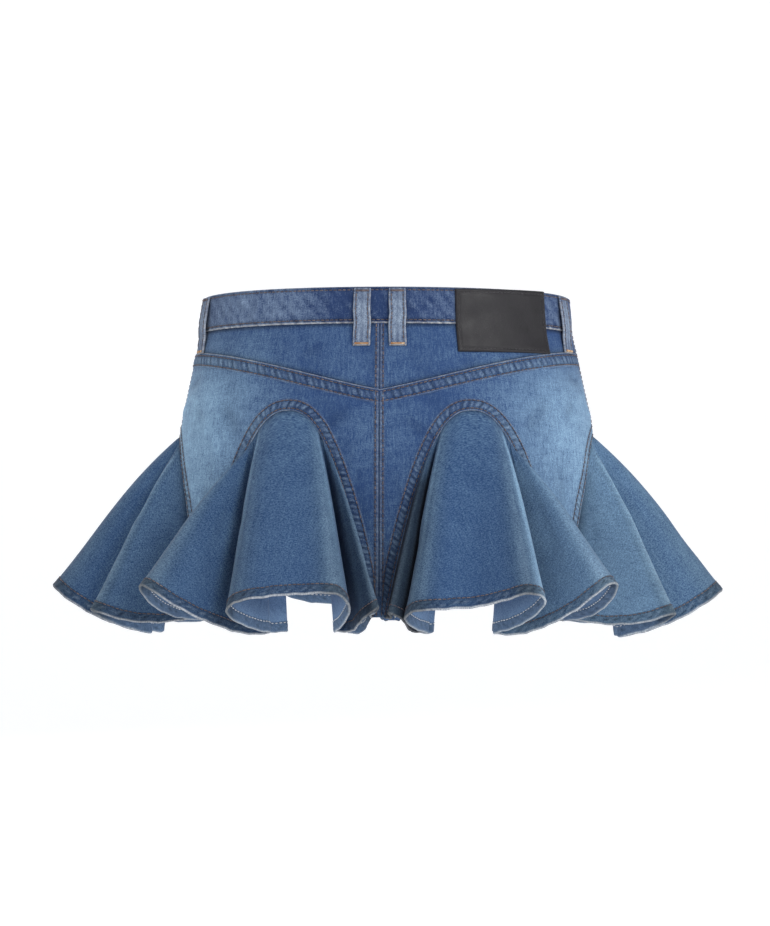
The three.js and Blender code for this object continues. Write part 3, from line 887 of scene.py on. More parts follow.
@dataclass(frozen=True)
class Arch:
    """An opening in the body that a godet is set in, and the shape of its legs."""

    centre: float
    top: float
    half: float = 28.2
    power: float = 2.35
    crown: float = 0.6

    def edge(self, u: Array, inset: Array = 0.0) -> tuple[Array, Array]:
        """The turn and drop of its edge.

        Args:
            u: -1 at one foot, 0 at its top, 1 at the other foot.
            inset: How far inside the opening.

        Returns:
            Turns and drops.
        """
        u = np.asarray(u, float)
        height = BODY.hem_drop - self.top
        scale = BODY.girth(self.top)
        half = self.half * scale
        slope = height * self.power * np.abs(u) ** (self.power - 1) * np.sign(u) / half
        length = np.hypot(1, slope)
        turn = self.centre + (u * half - inset * slope / length) / scale
        return turn, self.top + height * np.abs(u) ** self.power + inset / length

    def leg(self, v: Array) -> Array:
        """The u of a place down a leg, 0 at the crown's end and 1 at the foot."""
        low = self.crown**self.power
        return (low + (1 - low) * np.asarray(v, float)) ** (1 / self.power)

    def room(self, u: Array) -> Array:
        """How much of the cloth beside the edge there is, up to the middle of the pier."""
        u = np.asarray(u, float)
        scale = BODY.girth(self.top)
        height = BODY.hem_drop - self.top
        slope = height * self.power * np.abs(u) ** (self.power - 1) / (self.half * scale)
        level = slope / np.hypot(1, slope)
        return (30 - self.half * np.abs(u)) * scale / np.maximum(level, 0.05)


@dataclass
class HemCurve:
    """A godet's hem in plan: a smooth curve through the ends of its folds, even along its length."""

    points: Array
    steps: int = 60

    def __post_init__(self) -> None:
        """Works out the curve's points and lengths."""
        p = self.points
        ends = np.concatenate([[2 * p[0] - p[1]], p, [2 * p[-1] - p[-2]]])
        share = np.arange(self.steps) / self.steps
        pieces = []
        for i in range(len(p) - 1):
            a, b, c, d = ends[i:i + 4]
            first, second, third = (max(float(np.linalg.norm(y - x)) ** 0.5, 1e-4)
                                    for x, y in ((a, b), (b, c), (c, d)))
            leave = (b - a) / first - (c - a) / (first + second) + (c - b) / second
            reach = (c - b) / second - (d - b) / (second + third) + (d - c) / third
            leave, reach = leave * second, reach * second
            t = share[:, None]
            pieces.append(b + leave * t + (-3 * b + 3 * c - 2 * leave - reach) * t**2
                          + (2 * b - 2 * c + leave + reach) * t**3)
        self.line = np.concatenate([*pieces, p[-1:]])
        gaps = np.linalg.norm(np.diff(self.line, axis=0), axis=1)
        lengths = np.concatenate([[0], np.cumsum(gaps)])
        self.total = float(lengths[-1])
        self.share = lengths / self.total
        self.places = self.share[:: self.steps]

    def at(self, t: Array) -> Array:
        """Points along the curve, 0 to 1."""
        return np.stack([np.interp(t, self.share, self.line[:, k]) for k in range(2)], -1)

    def bend(self, t: Array, step: float = 0.006) -> Array:
        """How sharply the curve bends there, signed, over a step."""
        before, here, after = (self.at(np.clip(t + k * step, 0, 1)) for k in (-1, 0, 1))
        first, second = (after - before) / 2, after - 2 * here + before
        cross = first[..., 0] * second[..., 1] - first[..., 1] * second[..., 0]
        return cross / np.maximum(np.linalg.norm(first, axis=-1) ** 3, 1e-6)


@dataclass
class Godet:
    """A circular godet: folds fan from the arch's crown to a fluted hem, and its sides run down the legs."""

    name: str
    arch: Arch
    facing: float
    length: float
    folds: tuple[tuple[float, float, float], ...]
    mirrored: bool = False
    seed: int = 1
    faded: float = 0.08
    # Painted shade on the inner flute; the side values lighten the back flutes and one outer flank, partly
    # fade and partly painted light.
    inner_shade: float = 0.15
    side_fade_and_light: tuple[float, float] = (0.0, 0.0)
    inset: float = 1.1
    bow: float = 0.06
    foot_stretch: float = 1.1
    foot_fade: int = 3
    foot_hold: int = 8
    hem_width: float = 8.0
    hem_rows: tuple[float, ...] = (11, 9.4, 8.0, 6.6, 4.6, 2.6, 1.2, 0.4, 0)
    head_rows: tuple[float, ...] = (0, 0.012, 0.03, 0.055)
    tuck: float = 2.6
    crown_width: float = 84.0
    spacing: float = 3.6
    wrinkle_count: int = 14
    pleat_start: float = 0.54
    # Ridges and the main pleat are made lighter: partly faded denim, partly a painted highlight.
    ridge_fade_and_highlight: float = 0.34
    pleat_fade_and_highlight: float = 0.24
    # valley_shade and groove_shade set painted shade in the valleys and in the hem's stitch groove.
    valley_shade: float = 0.58
    groove_shade: float = 0.55

    def __post_init__(self) -> None:
        """Lays out the hem."""
        self.way = -1 if self.mirrored else 1
        facing = math.radians(self.facing)
        out = np.array([math.sin(facing), math.cos(facing)])
        across = np.array([out[1], -out[0]]) * self.way
        centre = BODY.ring(self.arch.centre, BODY.hem_drop)
        plan = [centre + across * a + out * o for _, a, o in self.folds]
        feet = [self.edge(np.array(end * self.way))[:2] for end in (-1.0, 1.0)]
        self.hem = HemCurve(np.array([feet[0], *plan, feet[1]]))
        self.starts = np.array([-1, *(start for start, _, _ in self.folds), 1])

    def edge(self, u: Array) -> Array:
        """A point of the seam line, just inside the arch."""
        return BODY.point(*self.arch.edge(u, self.inset))

    def surface(self, t: Array, v: Array) -> Array:
        """The cloth's middle.

        Args:
            t: Along the hem, 0 to 1.
            v: Down a fold, 0 at the seam and 1 at the hem.

        Returns:
            Points.
        """
        t, v = np.broadcast_arrays(np.asarray(t, float), np.asarray(v, float))
        low = self.hem.at(t)
        start_u = smooth_table(self.hem.places, self.starts, t)
        start = self.edge(start_u * self.way * self.arch.crown)
        reach = np.linalg.norm(low - start[..., :2], axis=-1)
        end = np.where(t < 0.5, -1.0, 1.0)
        near = (1 - 2 * np.minimum(t, 1 - t)) ** self.foot_hold
        foot = self.edge(end * self.way)
        head = self.edge(end * self.way * self.arch.leg(0.0))
        leg = np.linalg.norm(head - foot, axis=-1)
        share = np.abs(start_u) ** self.foot_fade
        free = self.length * (1 - share) + leg * self.foot_stretch * share
        length = free * (1 - near) + leg * near
        fall = np.sqrt(np.maximum(length**2 - reach**2, 1))
        tip = np.concatenate([low, (start[..., 2] - fall)[..., None]], -1)
        swell = self.bow * 6.75 * v * (1 - v) ** 2 * (1 - near)
        point = start + (tip - start) * v[..., None]
        point[..., :2] += (low - start[..., :2]) * swell[..., None]
        straight = head + (foot - head) * v[..., None]
        on_leg = self.edge(end * self.way * self.arch.leg(v))
        return point + (on_leg - straight) * near[..., None]

    def rows(self) -> Array:
        """Places down the folds: even, and closer together at the hem's turned edge."""
        tail = np.array(self.hem_rows) / self.length
        return np.concatenate([self.head_rows, np.linspace(0.085, 1 - tail[0] - 0.02, 30), 1 - tail])

    def columns(self) -> Array:
        """Places along the hem, closer together where it bends."""
        parts = []
        for a, b in zip(self.hem.places[:-1], self.hem.places[1:]):
            count = max(6, int((b - a) * self.hem.total / self.spacing))
            parts.append(np.linspace(a, b, count, endpoint=False))
        return np.concatenate([*parts, [1.0]])

    def wrinkles(self, t: Array, v: Array) -> Array:
        """Small uneven creases that run down the flutes, and puckers under the seam."""
        rng = np.random.default_rng(self.seed)
        run = t * self.hem.total
        middle = smoothstep(0.1, 0.5, v) * (1 - 0.6 * smoothstep(0.8, 1, v))
        puckers = np.exp(-v * self.length / 15) * smoothstep(0, 0.03, v)
        lift = 0.45 * ripple(run, 33, self.seed + 3) * middle
        lift = lift + 0.55 * ripple(t * 190, 8.5, self.seed + 5) * puckers
        for _ in range(self.wrinkle_count):
            place, down = rng.uniform(0.06, 0.94), rng.uniform(0.3, 0.85)
            long, wide = rng.uniform(26, 70), rng.uniform(5, 10)
            height, lean = rng.choice([-1, 1]) * rng.uniform(0.35, 0.9), rng.uniform(-0.35, 0.35)
            x = (t - place) * self.hem.total * np.maximum(v, 0.25)
            y = (v - down) * self.length
            side = (x * math.cos(lean) - y * math.sin(lean)) / wide
            along = (x * math.sin(lean) + y * math.cos(lean)) / (long / 2)
            lift = lift + height * np.exp(-side**2) * np.clip(1 - along**2, 0, 1) ** 2
        return lift

    def dress(self, cuts: Cuts, outer_thread: StitchWork, inner_thread: StitchWork) -> Piece:
        """Builds the cloth and sews its hem.

        Args:
            cuts: Takes its flat size: about half a circle, with the hem as its rim.
            outer_thread: Takes the row of stitches that shows outside.
            inner_thread: Takes the row that shows inside.

        Returns:
            The cloth.
        """
        down, along = self.rows(), self.columns()
        v, t = np.meshgrid(down, along, indexing="ij")
        middle = self.surface(t, v)
        normal = self.normals(middle)
        run = t * self.hem.total
        from_hem = (1 - v) * self.length
        hem = smoothstep(self.hem_width + 1.2, self.hem_width - 0.8, from_hem)
        groove = np.exp(-((from_hem - self.hem_width) / 0.8) ** 2)
        rope = ripple(run + from_hem * 0.9, 6.4, self.seed + 9) * np.exp(-((from_hem - 4) / 2.6) ** 2)
        middle = middle + normal * self.wrinkles(t, v)[..., None]
        middle[..., 2] += 0.5 * ripple(run, 17, self.seed + 2) * smoothstep(0.9, 1, v)
        half = BODY.cloth / 2 + 0.28 * hem - 0.25 * groove + 0.26 * rope
        wear_and_shade = self.wear_and_shade(t, v, rope, groove, from_hem)
        outer = self.tucked(middle + normal * half[..., None], along, down, -0.9)
        inner = self.tucked(middle - normal * half[..., None], along, down, -2.1)
        wide = np.pad(wear_and_shade, ((1, 0), (1, 1), (0, 0)), mode="edge")
        wide_t, wide_v = (np.pad(share, ((1, 0), (1, 1)), mode="edge") for share in (t, v))
        start = self.length * self.crown_width / (self.hem.total - self.crown_width)
        angle = (wide_t - 0.5) * self.hem.total / (self.length + start)
        radius = self.length * wide_v + start
        grain = np.stack([radius * np.sin(angle), -radius * np.cos(angle)], -1)
        inside = wide.copy()
        inside[..., 0] = 0.24 + 0.22 * smoothstep(24, 9, (1 - wide_v) * self.length)
        inside[..., 1] *= 0.5
        shell = ClothShell(outer, inner, grain, wide, inside, rim_edge=1.0)
        cloth = shell.build(f"{self.name}_cloth", GODET_OUTSIDE, INSIDE)
        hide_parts(self.name)
        area = sheet_area(middle) * MM * MM
        reach = self.hem.total / math.pi
        cuts.add(cloth, (2 * reach * MM, max(reach, self.length) * MM), area, rests_on=self.hung_from())
        row = int(np.argmin(np.abs((1 - down) * self.length - self.hem_width)))
        way_out = normal[row] * half[row, :, None]
        outer_thread.row(middle[row] + way_out, normal[row], bare=3, lift=0.2)
        inner_thread.row(middle[row] - way_out, -normal[row], bare=3, lift=0.25)
        LOG.info("%s: hem %.0f mm round, cloth %.4f square metres", cloth.name, self.hem.total, area)
        return cloth

    def normals(self, grid: Array) -> Array:
        """The way out of the cloth."""
        return unit(np.cross(np.gradient(grid, axis=1), np.gradient(grid, axis=0))) * self.way

    def hung_from(self) -> list[str]:
        """The body pieces that it is sewn to."""
        side = "left" if self.arch.centre < 180 else "right"
        if self.arch.centre in (90, 270):
            return [f"back_panel_{side}_cloth", f"front_panel_{side}_cloth"]
        where = "back" if self.arch.centre in (30, 330) else "front"
        return [f"{where}_panel_{side}_cloth"]

    def tucked(self, grid: Array, along: Array, down: Array, out: float) -> Array:
        """The grid with a row above it and a column at each side that run in under the body's folded edge."""
        u = smooth_table(self.hem.places, self.starts, along) * self.way * self.arch.crown
        top = BODY.point(*self.arch.edge(u, -self.tuck), out)
        sides = []
        for end in (-1, 1):
            leg = end * self.way * self.arch.leg(down)
            tuck = np.minimum(self.tuck, self.arch.room(leg) * 0.8)
            sides.append(BODY.point(*self.arch.edge(leg, -tuck), out))
        first = np.concatenate([sides[0][:1], top, sides[1][:1]])
        rest = np.concatenate([sides[0][:, None], grid, sides[1][:, None]], 1)
        return np.concatenate([first[None], rest])

    def wear_and_shade(self, t: Array, v: Array, rope: Array, groove: Array, from_hem: Array) -> Array:
        """The cloth's fade and rubbed edges, painted highlights along its ridges, and painted shade."""
        bend = np.tanh(-self.hem.bend(t) * 13 * self.way)
        from_side = np.minimum(t, 1 - t) * self.hem.total * np.maximum(v, 0.1) * 0.5
        depth = np.minimum(v * self.length, from_side)
        ridge = np.maximum(bend, 0) ** 1.5 * v**0.4
        # Ridges are lighter: partly fade where the fold rubs, partly a painted highlight.
        fade = self.faded + self.ridge_fade_and_highlight * ridge + 0.08 * np.exp(-v * self.length / 26)
        fade = fade + 0.1 * np.maximum(rope, 0)
        edge = smoothstep(0.8, 0.1, from_hem) + 0.12 * ridge**3 + 0.2 * np.maximum(rope, 0)
        start = smooth_table(self.hem.places, self.starts, t)
        valley = np.maximum(-np.tanh(-self.hem.bend(t, 0.02) * -20 * self.way), 0)
        # A light line along the main pleat's ridge: a painted highlight, partly fade.
        pleat = np.exp(-((np.abs(start) - self.pleat_start) / 0.022) ** 2) * smoothstep(0.02, 0.1, v)
        flank = smoothstep(0.5, 0.57, start) * smoothstep(0.95, 0.7, start) * smoothstep(0, 0.2, v)
        fade = fade + self.pleat_fade_and_highlight * pleat * (0.4 + 0.6 * smoothstep(0.8, 0.3, v))
        # Painted light: the side godets' back flutes and the back right godet's outer flank are lighter,
        # partly as fade, and the flank loses its valley shade.
        fade = fade + self.side_fade_and_light[0] * smoothstep(-0.2, -0.4, start) + self.side_fade_and_light[1] * flank
        valley = valley * (1 - 0.85 * flank * min(1.0, self.side_fade_and_light[1] * 8))
        # Painted shade under the seam's folded edge, in the valleys, in the hem's stitch groove and in the
        # roping's troughs; the hem band below the stitches is darker too.
        shade = 0.95 * np.exp(-depth / 2.2) + self.valley_shade * valley * v**0.4
        # Painted shade on the inner flute, which faces away from the light.
        shade = shade + self.inner_shade * smoothstep(-0.62, -0.72, start) * smoothstep(0.05, 0.3, v)
        shade = shade + self.groove_shade * groove + 0.5 * np.maximum(-rope, 0)
        shade = shade + 0.36 * smoothstep(8, 6.6, from_hem)
        return layered(fade, edge, shade)


# Seams on the body

# A folded edge with doubled cloth behind it: place across it, how far out, roping, rubbing, painted shade
SEAM_PROFILE = np.array([
    (-1.2, -0.6, 0.0, 0.1, 0.8), (-1.6, 0.3, 0.0, 0.5, 0.3), (-1.25, 1.0, 0.0, 0.85, 0.0),
    (-0.8, 1.2, 0.1, 0.25, 0.05), (-0.1, 1.05, 0.1, 0.0, 0.3), (0.6, 0.82, 0.0, 0.0, 0.55),
    (1.6, 1.0, 0.5, 0.0, 0.25), (3.4, 1.2, 1.0, 0.05, 0.12), (5.6, 1.2, 1.0, 0.05, 0.12),
    (7.0, 1.0, 0.5, 0.0, 0.25), (8.0, 0.75, 0.0, 0.0, 0.6), (8.9, 0.95, 0.1, 0.22, 0.0),
    (9.7, 0.7, 0.0, 0.05, 0.15), (10.5, 0.4, 0.0, 0.0, 0.4),
])
SEAM_ROWS = (0.6, 8.0)

# A seam pressed open, sewn down on both sides of the groove between its two pieces
# Columns as above; the last is painted shade, darkest in the groove.
PRESSED_SIDE = [
    (0.5, 0.9, 0.0, 0.1, 0.5), (1.1, 1.15, 0.3, 0.3, 0.0), (2.1, 1.0, 0.6, 0.1, 0.1),
    (2.9, 0.75, 0.0, 0.0, 0.5), (3.8, 0.85, 0.2, 0.12, 0.05), (4.6, 0.5, 0.0, 0.0, 0.35),
]
PRESSED_PROFILE = np.array([
    *((-across, *rest) for across, *rest in reversed(PRESSED_SIDE)), (0.0, 0.3, 0.0, 0.0, 1.0), *PRESSED_SIDE,
])
PRESSED_ROWS = (-2.9, 2.9)

# The trimmed edge inside a seam: place across it, and how far out
ALLOWANCE_PROFILE = np.array([
    (-2.8, -1.3), (-2.0, -2.3), (0, -2.6), (3, -2.5), (6, -2.4), (7.4, -2.2), (7.8, -1.5), (7.6, -0.7),
])


@dataclass
class FoldedSeam:
    """A seam on the body: a folded edge, the roped doubled cloth behind it, and its rows of stitches."""

    name: str
    line: SeamLine
    seed: int
    width: float = 1.0
    pitch: float = 5.2
    rows: tuple[float, ...] = SEAM_ROWS
    pressed: bool = False
    roping: float = 0.26
    waver: float = 0.14

    def allowance(self, thread: StitchWork) -> Piece:
        """The seam's trimmed edge inside the skirt, sewn over with pale thread.

        Args:
            thread: Takes the stitches that lie over its edge.

        Returns:
            Its cloth.
        """
        cross = ALLOWANCE_PROFILE
        turn, drop = (np.stack(values) for values in zip(*(self.line(w * self.width) for w in cross[:, 0])))
        run = np.arange(turn.shape[1]) * 1.6
        points = BODY.point(turn, drop, cross[:, 1:] + 0.18 * ripple(run, 9, self.seed + 4)[None])
        wear_and_shade = np.zeros((*turn.shape, 3)) + (0.22, 0, 0)
        wear_and_shade[-3:, :, 1] = 0.6
        faces = quads(*turn.shape)[:, ::-1]
        grain = layered(run[None], cross[:, :1])
        made = make_object(f"{self.name}_allowance", points, outward_faces(points, faces, -1),
                           [INSIDE], None, grain, wear_and_shade)
        at = self.line(6.0 * self.width)
        thread.row(BODY.point(*at, -2.55), -BODY.outward(*at), bare=1, lift=0.2)
        return made

    def build(self, thread: StitchWork) -> Piece:
        """Builds the seam and sews it.

        Args:
            thread: Takes its rows of stitches.

        Returns:
            The seam's cloth.
        """
        cross = (PRESSED_PROFILE if self.pressed else SEAM_PROFILE).copy()
        cross[cross[:, 0] > 0, 0] *= self.width
        turn, drop = (np.stack(values) for values in zip(*(self.line(w) for w in cross[:, 0])))
        base = BODY.point(turn[3], drop[3])
        run = np.concatenate([[0], np.cumsum(np.linalg.norm(np.diff(base, axis=0), axis=1))])
        rope = ripple(run[None] + cross[:, :1] * 0.45, self.pitch, self.seed)
        rope = np.sign(rope) * np.abs(rope) ** 0.7 * cross[:, 2:3]
        waver = self.waver * ripple(run, 23, self.seed + 1)[None]
        points = BODY.point(turn, drop, cross[:, 1:2] + self.roping * rope + waver * (cross[:, 1:2] > 0.5))
        fade = BODY.fade(turn, drop) * 0.85 + 0.15 * np.maximum(rope, 0)
        edge = cross[:, 3:4] * (0.75 + 0.25 * ripple(run, 11, self.seed + 2)[None])
        edge = edge + 0.12 * np.maximum(rope, 0)
        # Painted shade in the seam's grooves and in the troughs of its roping.
        shade = cross[:, 4:5] + 0.6 * np.maximum(-rope, 0)
        wear_and_shade, grain = layered(fade, edge, shade), layered(run[None], cross[:, :1])
        faces = quads(len(cross), len(run))
        made = make_object(self.name, points, outward_faces(points, faces, 1), [OUTSIDE], None,
                           grain, wear_and_shade)
        for place in self.rows:
            sew_on_body(thread, *self.line(place * self.width), 1.0, bare=0.5, lift=0.22)
        return made


def arch_seam(arch: Arch) -> SeamLine:
    """The line of an arch's edge, moved into the body by a distance that narrows where the pier does."""
    leg = arch.leg(np.linspace(0.01, 1, 110))
    u = np.concatenate([-leg[::-1], np.linspace(-arch.crown, arch.crown, 90), leg])

    def line(across: float) -> tuple[Array, Array]:
        """The turns and drops at a distance across the seam."""
        if across <= 0:
            return arch.edge(u, -across)
        return arch.edge(u, -across * np.minimum(1, arch.room(u) / 11))

    return line


@dataclass
class BodySeams:
    """Every seam of the body, with its stitches."""

    arches: Sequence[Arch]
    yoke_fold: float = 0.9
    back_foot: float = 238.0
    front_foot: float = 244.0
    side_foot: float = 105.0
    fly_rows: tuple[float, float] = (33.0, 38.5)
    fly_bend_drop: float = 84.0

    def yoke(self, low: float, high: float) -> SeamLine:
        """The yoke's V seam between two turns."""
        turn = np.linspace(low, high, 260)
        return lambda across: (turn, BODY.yoke_drop(turn) + across + self.yoke_fold)

    def upright(self, turn: float, top: float, bottom: float, way: int) -> SeamLine:
        """An upright seam at a turn, its doubled cloth to one side."""
        drop = np.linspace(top, bottom, 150)
        scale = BODY.girth(HIP_DROP)
        return lambda across: (turn + way * across / scale + 0 * drop, drop)

    def seams(self) -> list[tuple[FoldedSeam, str]]:
        """Each seam, and the cloth that it is folded from."""
        hosts = ("back_panel_left", "front_panel_left", "front_panel_left", "front_panel_right",
                 "front_panel_right", "back_panel_right")
        arches = [(FoldedSeam(f"arch_seam_{k + 1}", arch_seam(arch), 60 + k, 0.83, 4.4), hosts[k])
                  for k, arch in enumerate(self.arches)]
        middle, low = BODY.yoke_back_drop, BODY.band_height
        pressed = {"rows": PRESSED_ROWS, "pressed": True}
        return arches + [
            (FoldedSeam("yoke_seam_left", self.yoke(0, 90), 71), "back_panel_left"),
            (FoldedSeam("yoke_seam_right", self.yoke(-90, 0), 72), "back_panel_right"),
            (FoldedSeam("centre_back_seam", self.upright(0, middle + 1, self.back_foot, 1), 73, **pressed),
             "back_panel_left"),
            (FoldedSeam("yoke_back_seam", self.upright(0, low, middle, 1), 74, **pressed), "yoke_left"),
            (FoldedSeam("centre_front_seam", self.upright(180, low, self.front_foot, -1), 75, 0.75),
             "front_panel_left"),
            (FoldedSeam("side_seam_left", self.upright(90, low, self.side_foot, 1), 76, 0.5, rows=(1.5,)),
             "front_panel_left"),
            (FoldedSeam("side_seam_right", self.upright(-90, low, self.side_foot, -1), 77, 0.5, rows=(1.5,)),
             "front_panel_right"),
        ]

    def build(self, cuts: Cuts) -> None:
        """Builds and sews every seam, and notes the cloth that each is on."""
        thread, pale = StitchWork(RUST, seed=40), StitchWork(CHAIN, seed=41)
        for seam, host in self.seams():
            cuts.sew_on(f"{host}_cloth", seam.build(thread))
            if not seam.name.startswith("centre_front"):
                cuts.sew_on(f"{host}_cloth", seam.allowance(pale))
        self.fly(thread)
        for work, name in ((thread, "seam_stitching"), (pale, "seam_edge_stitching")):
            stitches = work.build(name)
            cuts.sew_on("back_panel_left_cloth", stitches)
        LOG.info("%d seams on the body", len(self.seams()))

    def fly(self, thread: StitchWork) -> None:
        """Sews the fly's curved double row on the front left panel."""
        scale = BODY.girth(HIP_DROP)
        straight = np.linspace(BODY.band_height + 1, self.fly_bend_drop, 40)
        bend = np.linspace(0, math.pi / 2, 30)[1:]
        for across in self.fly_rows:
            turn = 180 - across * np.concatenate([np.ones_like(straight), np.cos(bend)]) / scale
            drop = np.concatenate([straight, self.fly_bend_drop + across * 0.8 * np.sin(bend)])
            sew_on_body(thread, turn, drop, BODY.cloth / 2, lift=0.12)


# Body pieces


@dataclass
class BodyPanel:
    """A body panel between two turns, its lower edge cut in arches."""

    name: str
    low: float
    high: float
    arches: Sequence[Arch]
    yoked: bool

    def columns(self) -> tuple[Array, Array]:
        """The turns of its columns, and the drop where each ends."""
        half = BODY.gap / 2 / BODY.girth(BODY.yoke_back_drop)
        low, high = self.low + half, self.high - half
        legs = np.linspace(0.03, 1, 34)
        turns, drops = [], []
        for arch in self.arches:
            leg = arch.leg(legs)
            u = np.concatenate([-leg[::-1], np.linspace(-arch.crown, arch.crown, 44), leg])
            turn, drop = arch.edge(u)
            turns.append(turn)
            drops.append(drop)
        turn, drop = np.concatenate(turns), np.concatenate(drops)
        keep = (turn > low + 0.05) & (turn < high - 0.05)
        tops = {arch.centre: arch.top for arch in self.arches}
        ends = [tops.get(side, BODY.hem_drop) for side in (self.low, self.high)]
        turn = np.concatenate([[low], turn[keep], [high]])
        drop = np.concatenate([ends[:1], drop[keep], ends[1:]])
        order = np.argsort(turn)
        return turn[order], drop[order]

    def build(self, cuts: Cuts) -> None:
        """Builds the panel and notes its flat size."""
        turn, low = self.columns()
        above = BODY.yoke_drop(turn) if self.yoked else np.full_like(turn, BODY.band_height)
        top = above + BODY.gap
        share = np.linspace(0, 1, 46)[:, None]
        drop = top[None] * (1 - share) + low[None] * share
        turn = np.broadcast_to(turn[None], drop.shape)
        half = BODY.cloth / 2
        lift = BODY.creases(turn, drop)
        fade = BODY.fade(turn, drop) + 0.035 * np.clip(lift, -1.3, 1.3)
        # Painted shade in the troughs of the creases.
        wear_and_shade = layered(fade, 0, 0.15 * np.clip(-lift, 0, 1))
        inside = wear_and_shade * (0.6, 0, 1) + (0.12, 0, 0)
        outer, inner = BODY.point(turn, drop, half), BODY.point(turn, drop, -half)
        shell = ClothShell(outer, inner, BODY.grain(turn, drop), wear_and_shade, inside, rim=0.2, rim_edge=0.4)
        cloth = shell.build(f"{self.name}_cloth", OUTSIDE, INSIDE)
        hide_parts(self.name)
        area = sheet_area(outer) * MM * MM
        wide = BODY.around(self.low, self.high, max(arch.top for arch in self.arches)) * MM
        long = (BODY.hem_drop - float(top.min())) * MM
        cuts.add(cloth, (wide, long), min(area, wide * long), rests_on=["waistband_cloth"])
        LOG.info("%s: %.0f mm wide, %.4f square metres", cloth.name, wide / MM, area)


@dataclass
class YokePiece:
    """One half of the back yoke."""

    name: str
    low: float
    high: float

    def build(self, cuts: Cuts) -> None:
        """Builds the yoke, with painted shade under the waistband's edge and just above its own seam."""
        half = BODY.gap / 2 / BODY.girth(BODY.yoke_side_drop)
        turn = np.linspace(self.low + half, self.high - half, 150)
        top = BODY.band_height - 1.5
        low = BODY.yoke_drop(turn)[None] - BODY.gap
        share = np.concatenate([[0, 0.03, 0.07, 0.12], np.linspace(0.18, 0.9, 22), [0.94, 0.97, 0.985, 1]])
        share = share[:, None]
        drop = top * (1 - share) + low * share
        turn = np.broadcast_to(turn[None], drop.shape)
        half = BODY.cloth / 2
        lift = BODY.creases(turn, drop)
        # Painted shade under the waistband's edge, above the yoke seam and in crease troughs.
        shade = 0.9 * smoothstep(BODY.band_height + 4.6, BODY.band_height + 0.4, drop)
        shade = shade + 0.9 * np.exp(-np.maximum(low - drop - 0.2, 0) / 1.5) + 0.15 * np.clip(-lift, 0, 1)
        fade = BODY.fade(turn, drop) + 0.03 + 0.04 * np.clip(lift, -1, 1) + 0.02 * ripple(turn, 31, 5)
        wear_and_shade, inside = layered(fade, 0, shade), layered(0.3, 0, 0.3 * shade)
        outer, inner = BODY.point(turn, drop, half), BODY.point(turn, drop, -half)
        shell = ClothShell(outer, inner, BODY.grain(turn, drop), wear_and_shade, inside, rim=0.2, rim_edge=0.2)
        cloth = shell.build(f"{self.name}_cloth", OUTSIDE, INSIDE)
        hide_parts(self.name)
        area = sheet_area(outer) * MM * MM
        wide = BODY.around(self.low, self.high, BODY.yoke_side_drop) * MM
        cuts.add(cloth, (wide, (BODY.yoke_back_drop - top) * MM), area, rests_on=["waistband_cloth"])
        LOG.info("%s: %.0f mm wide, %.4f square metres", cloth.name, wide / MM, area)


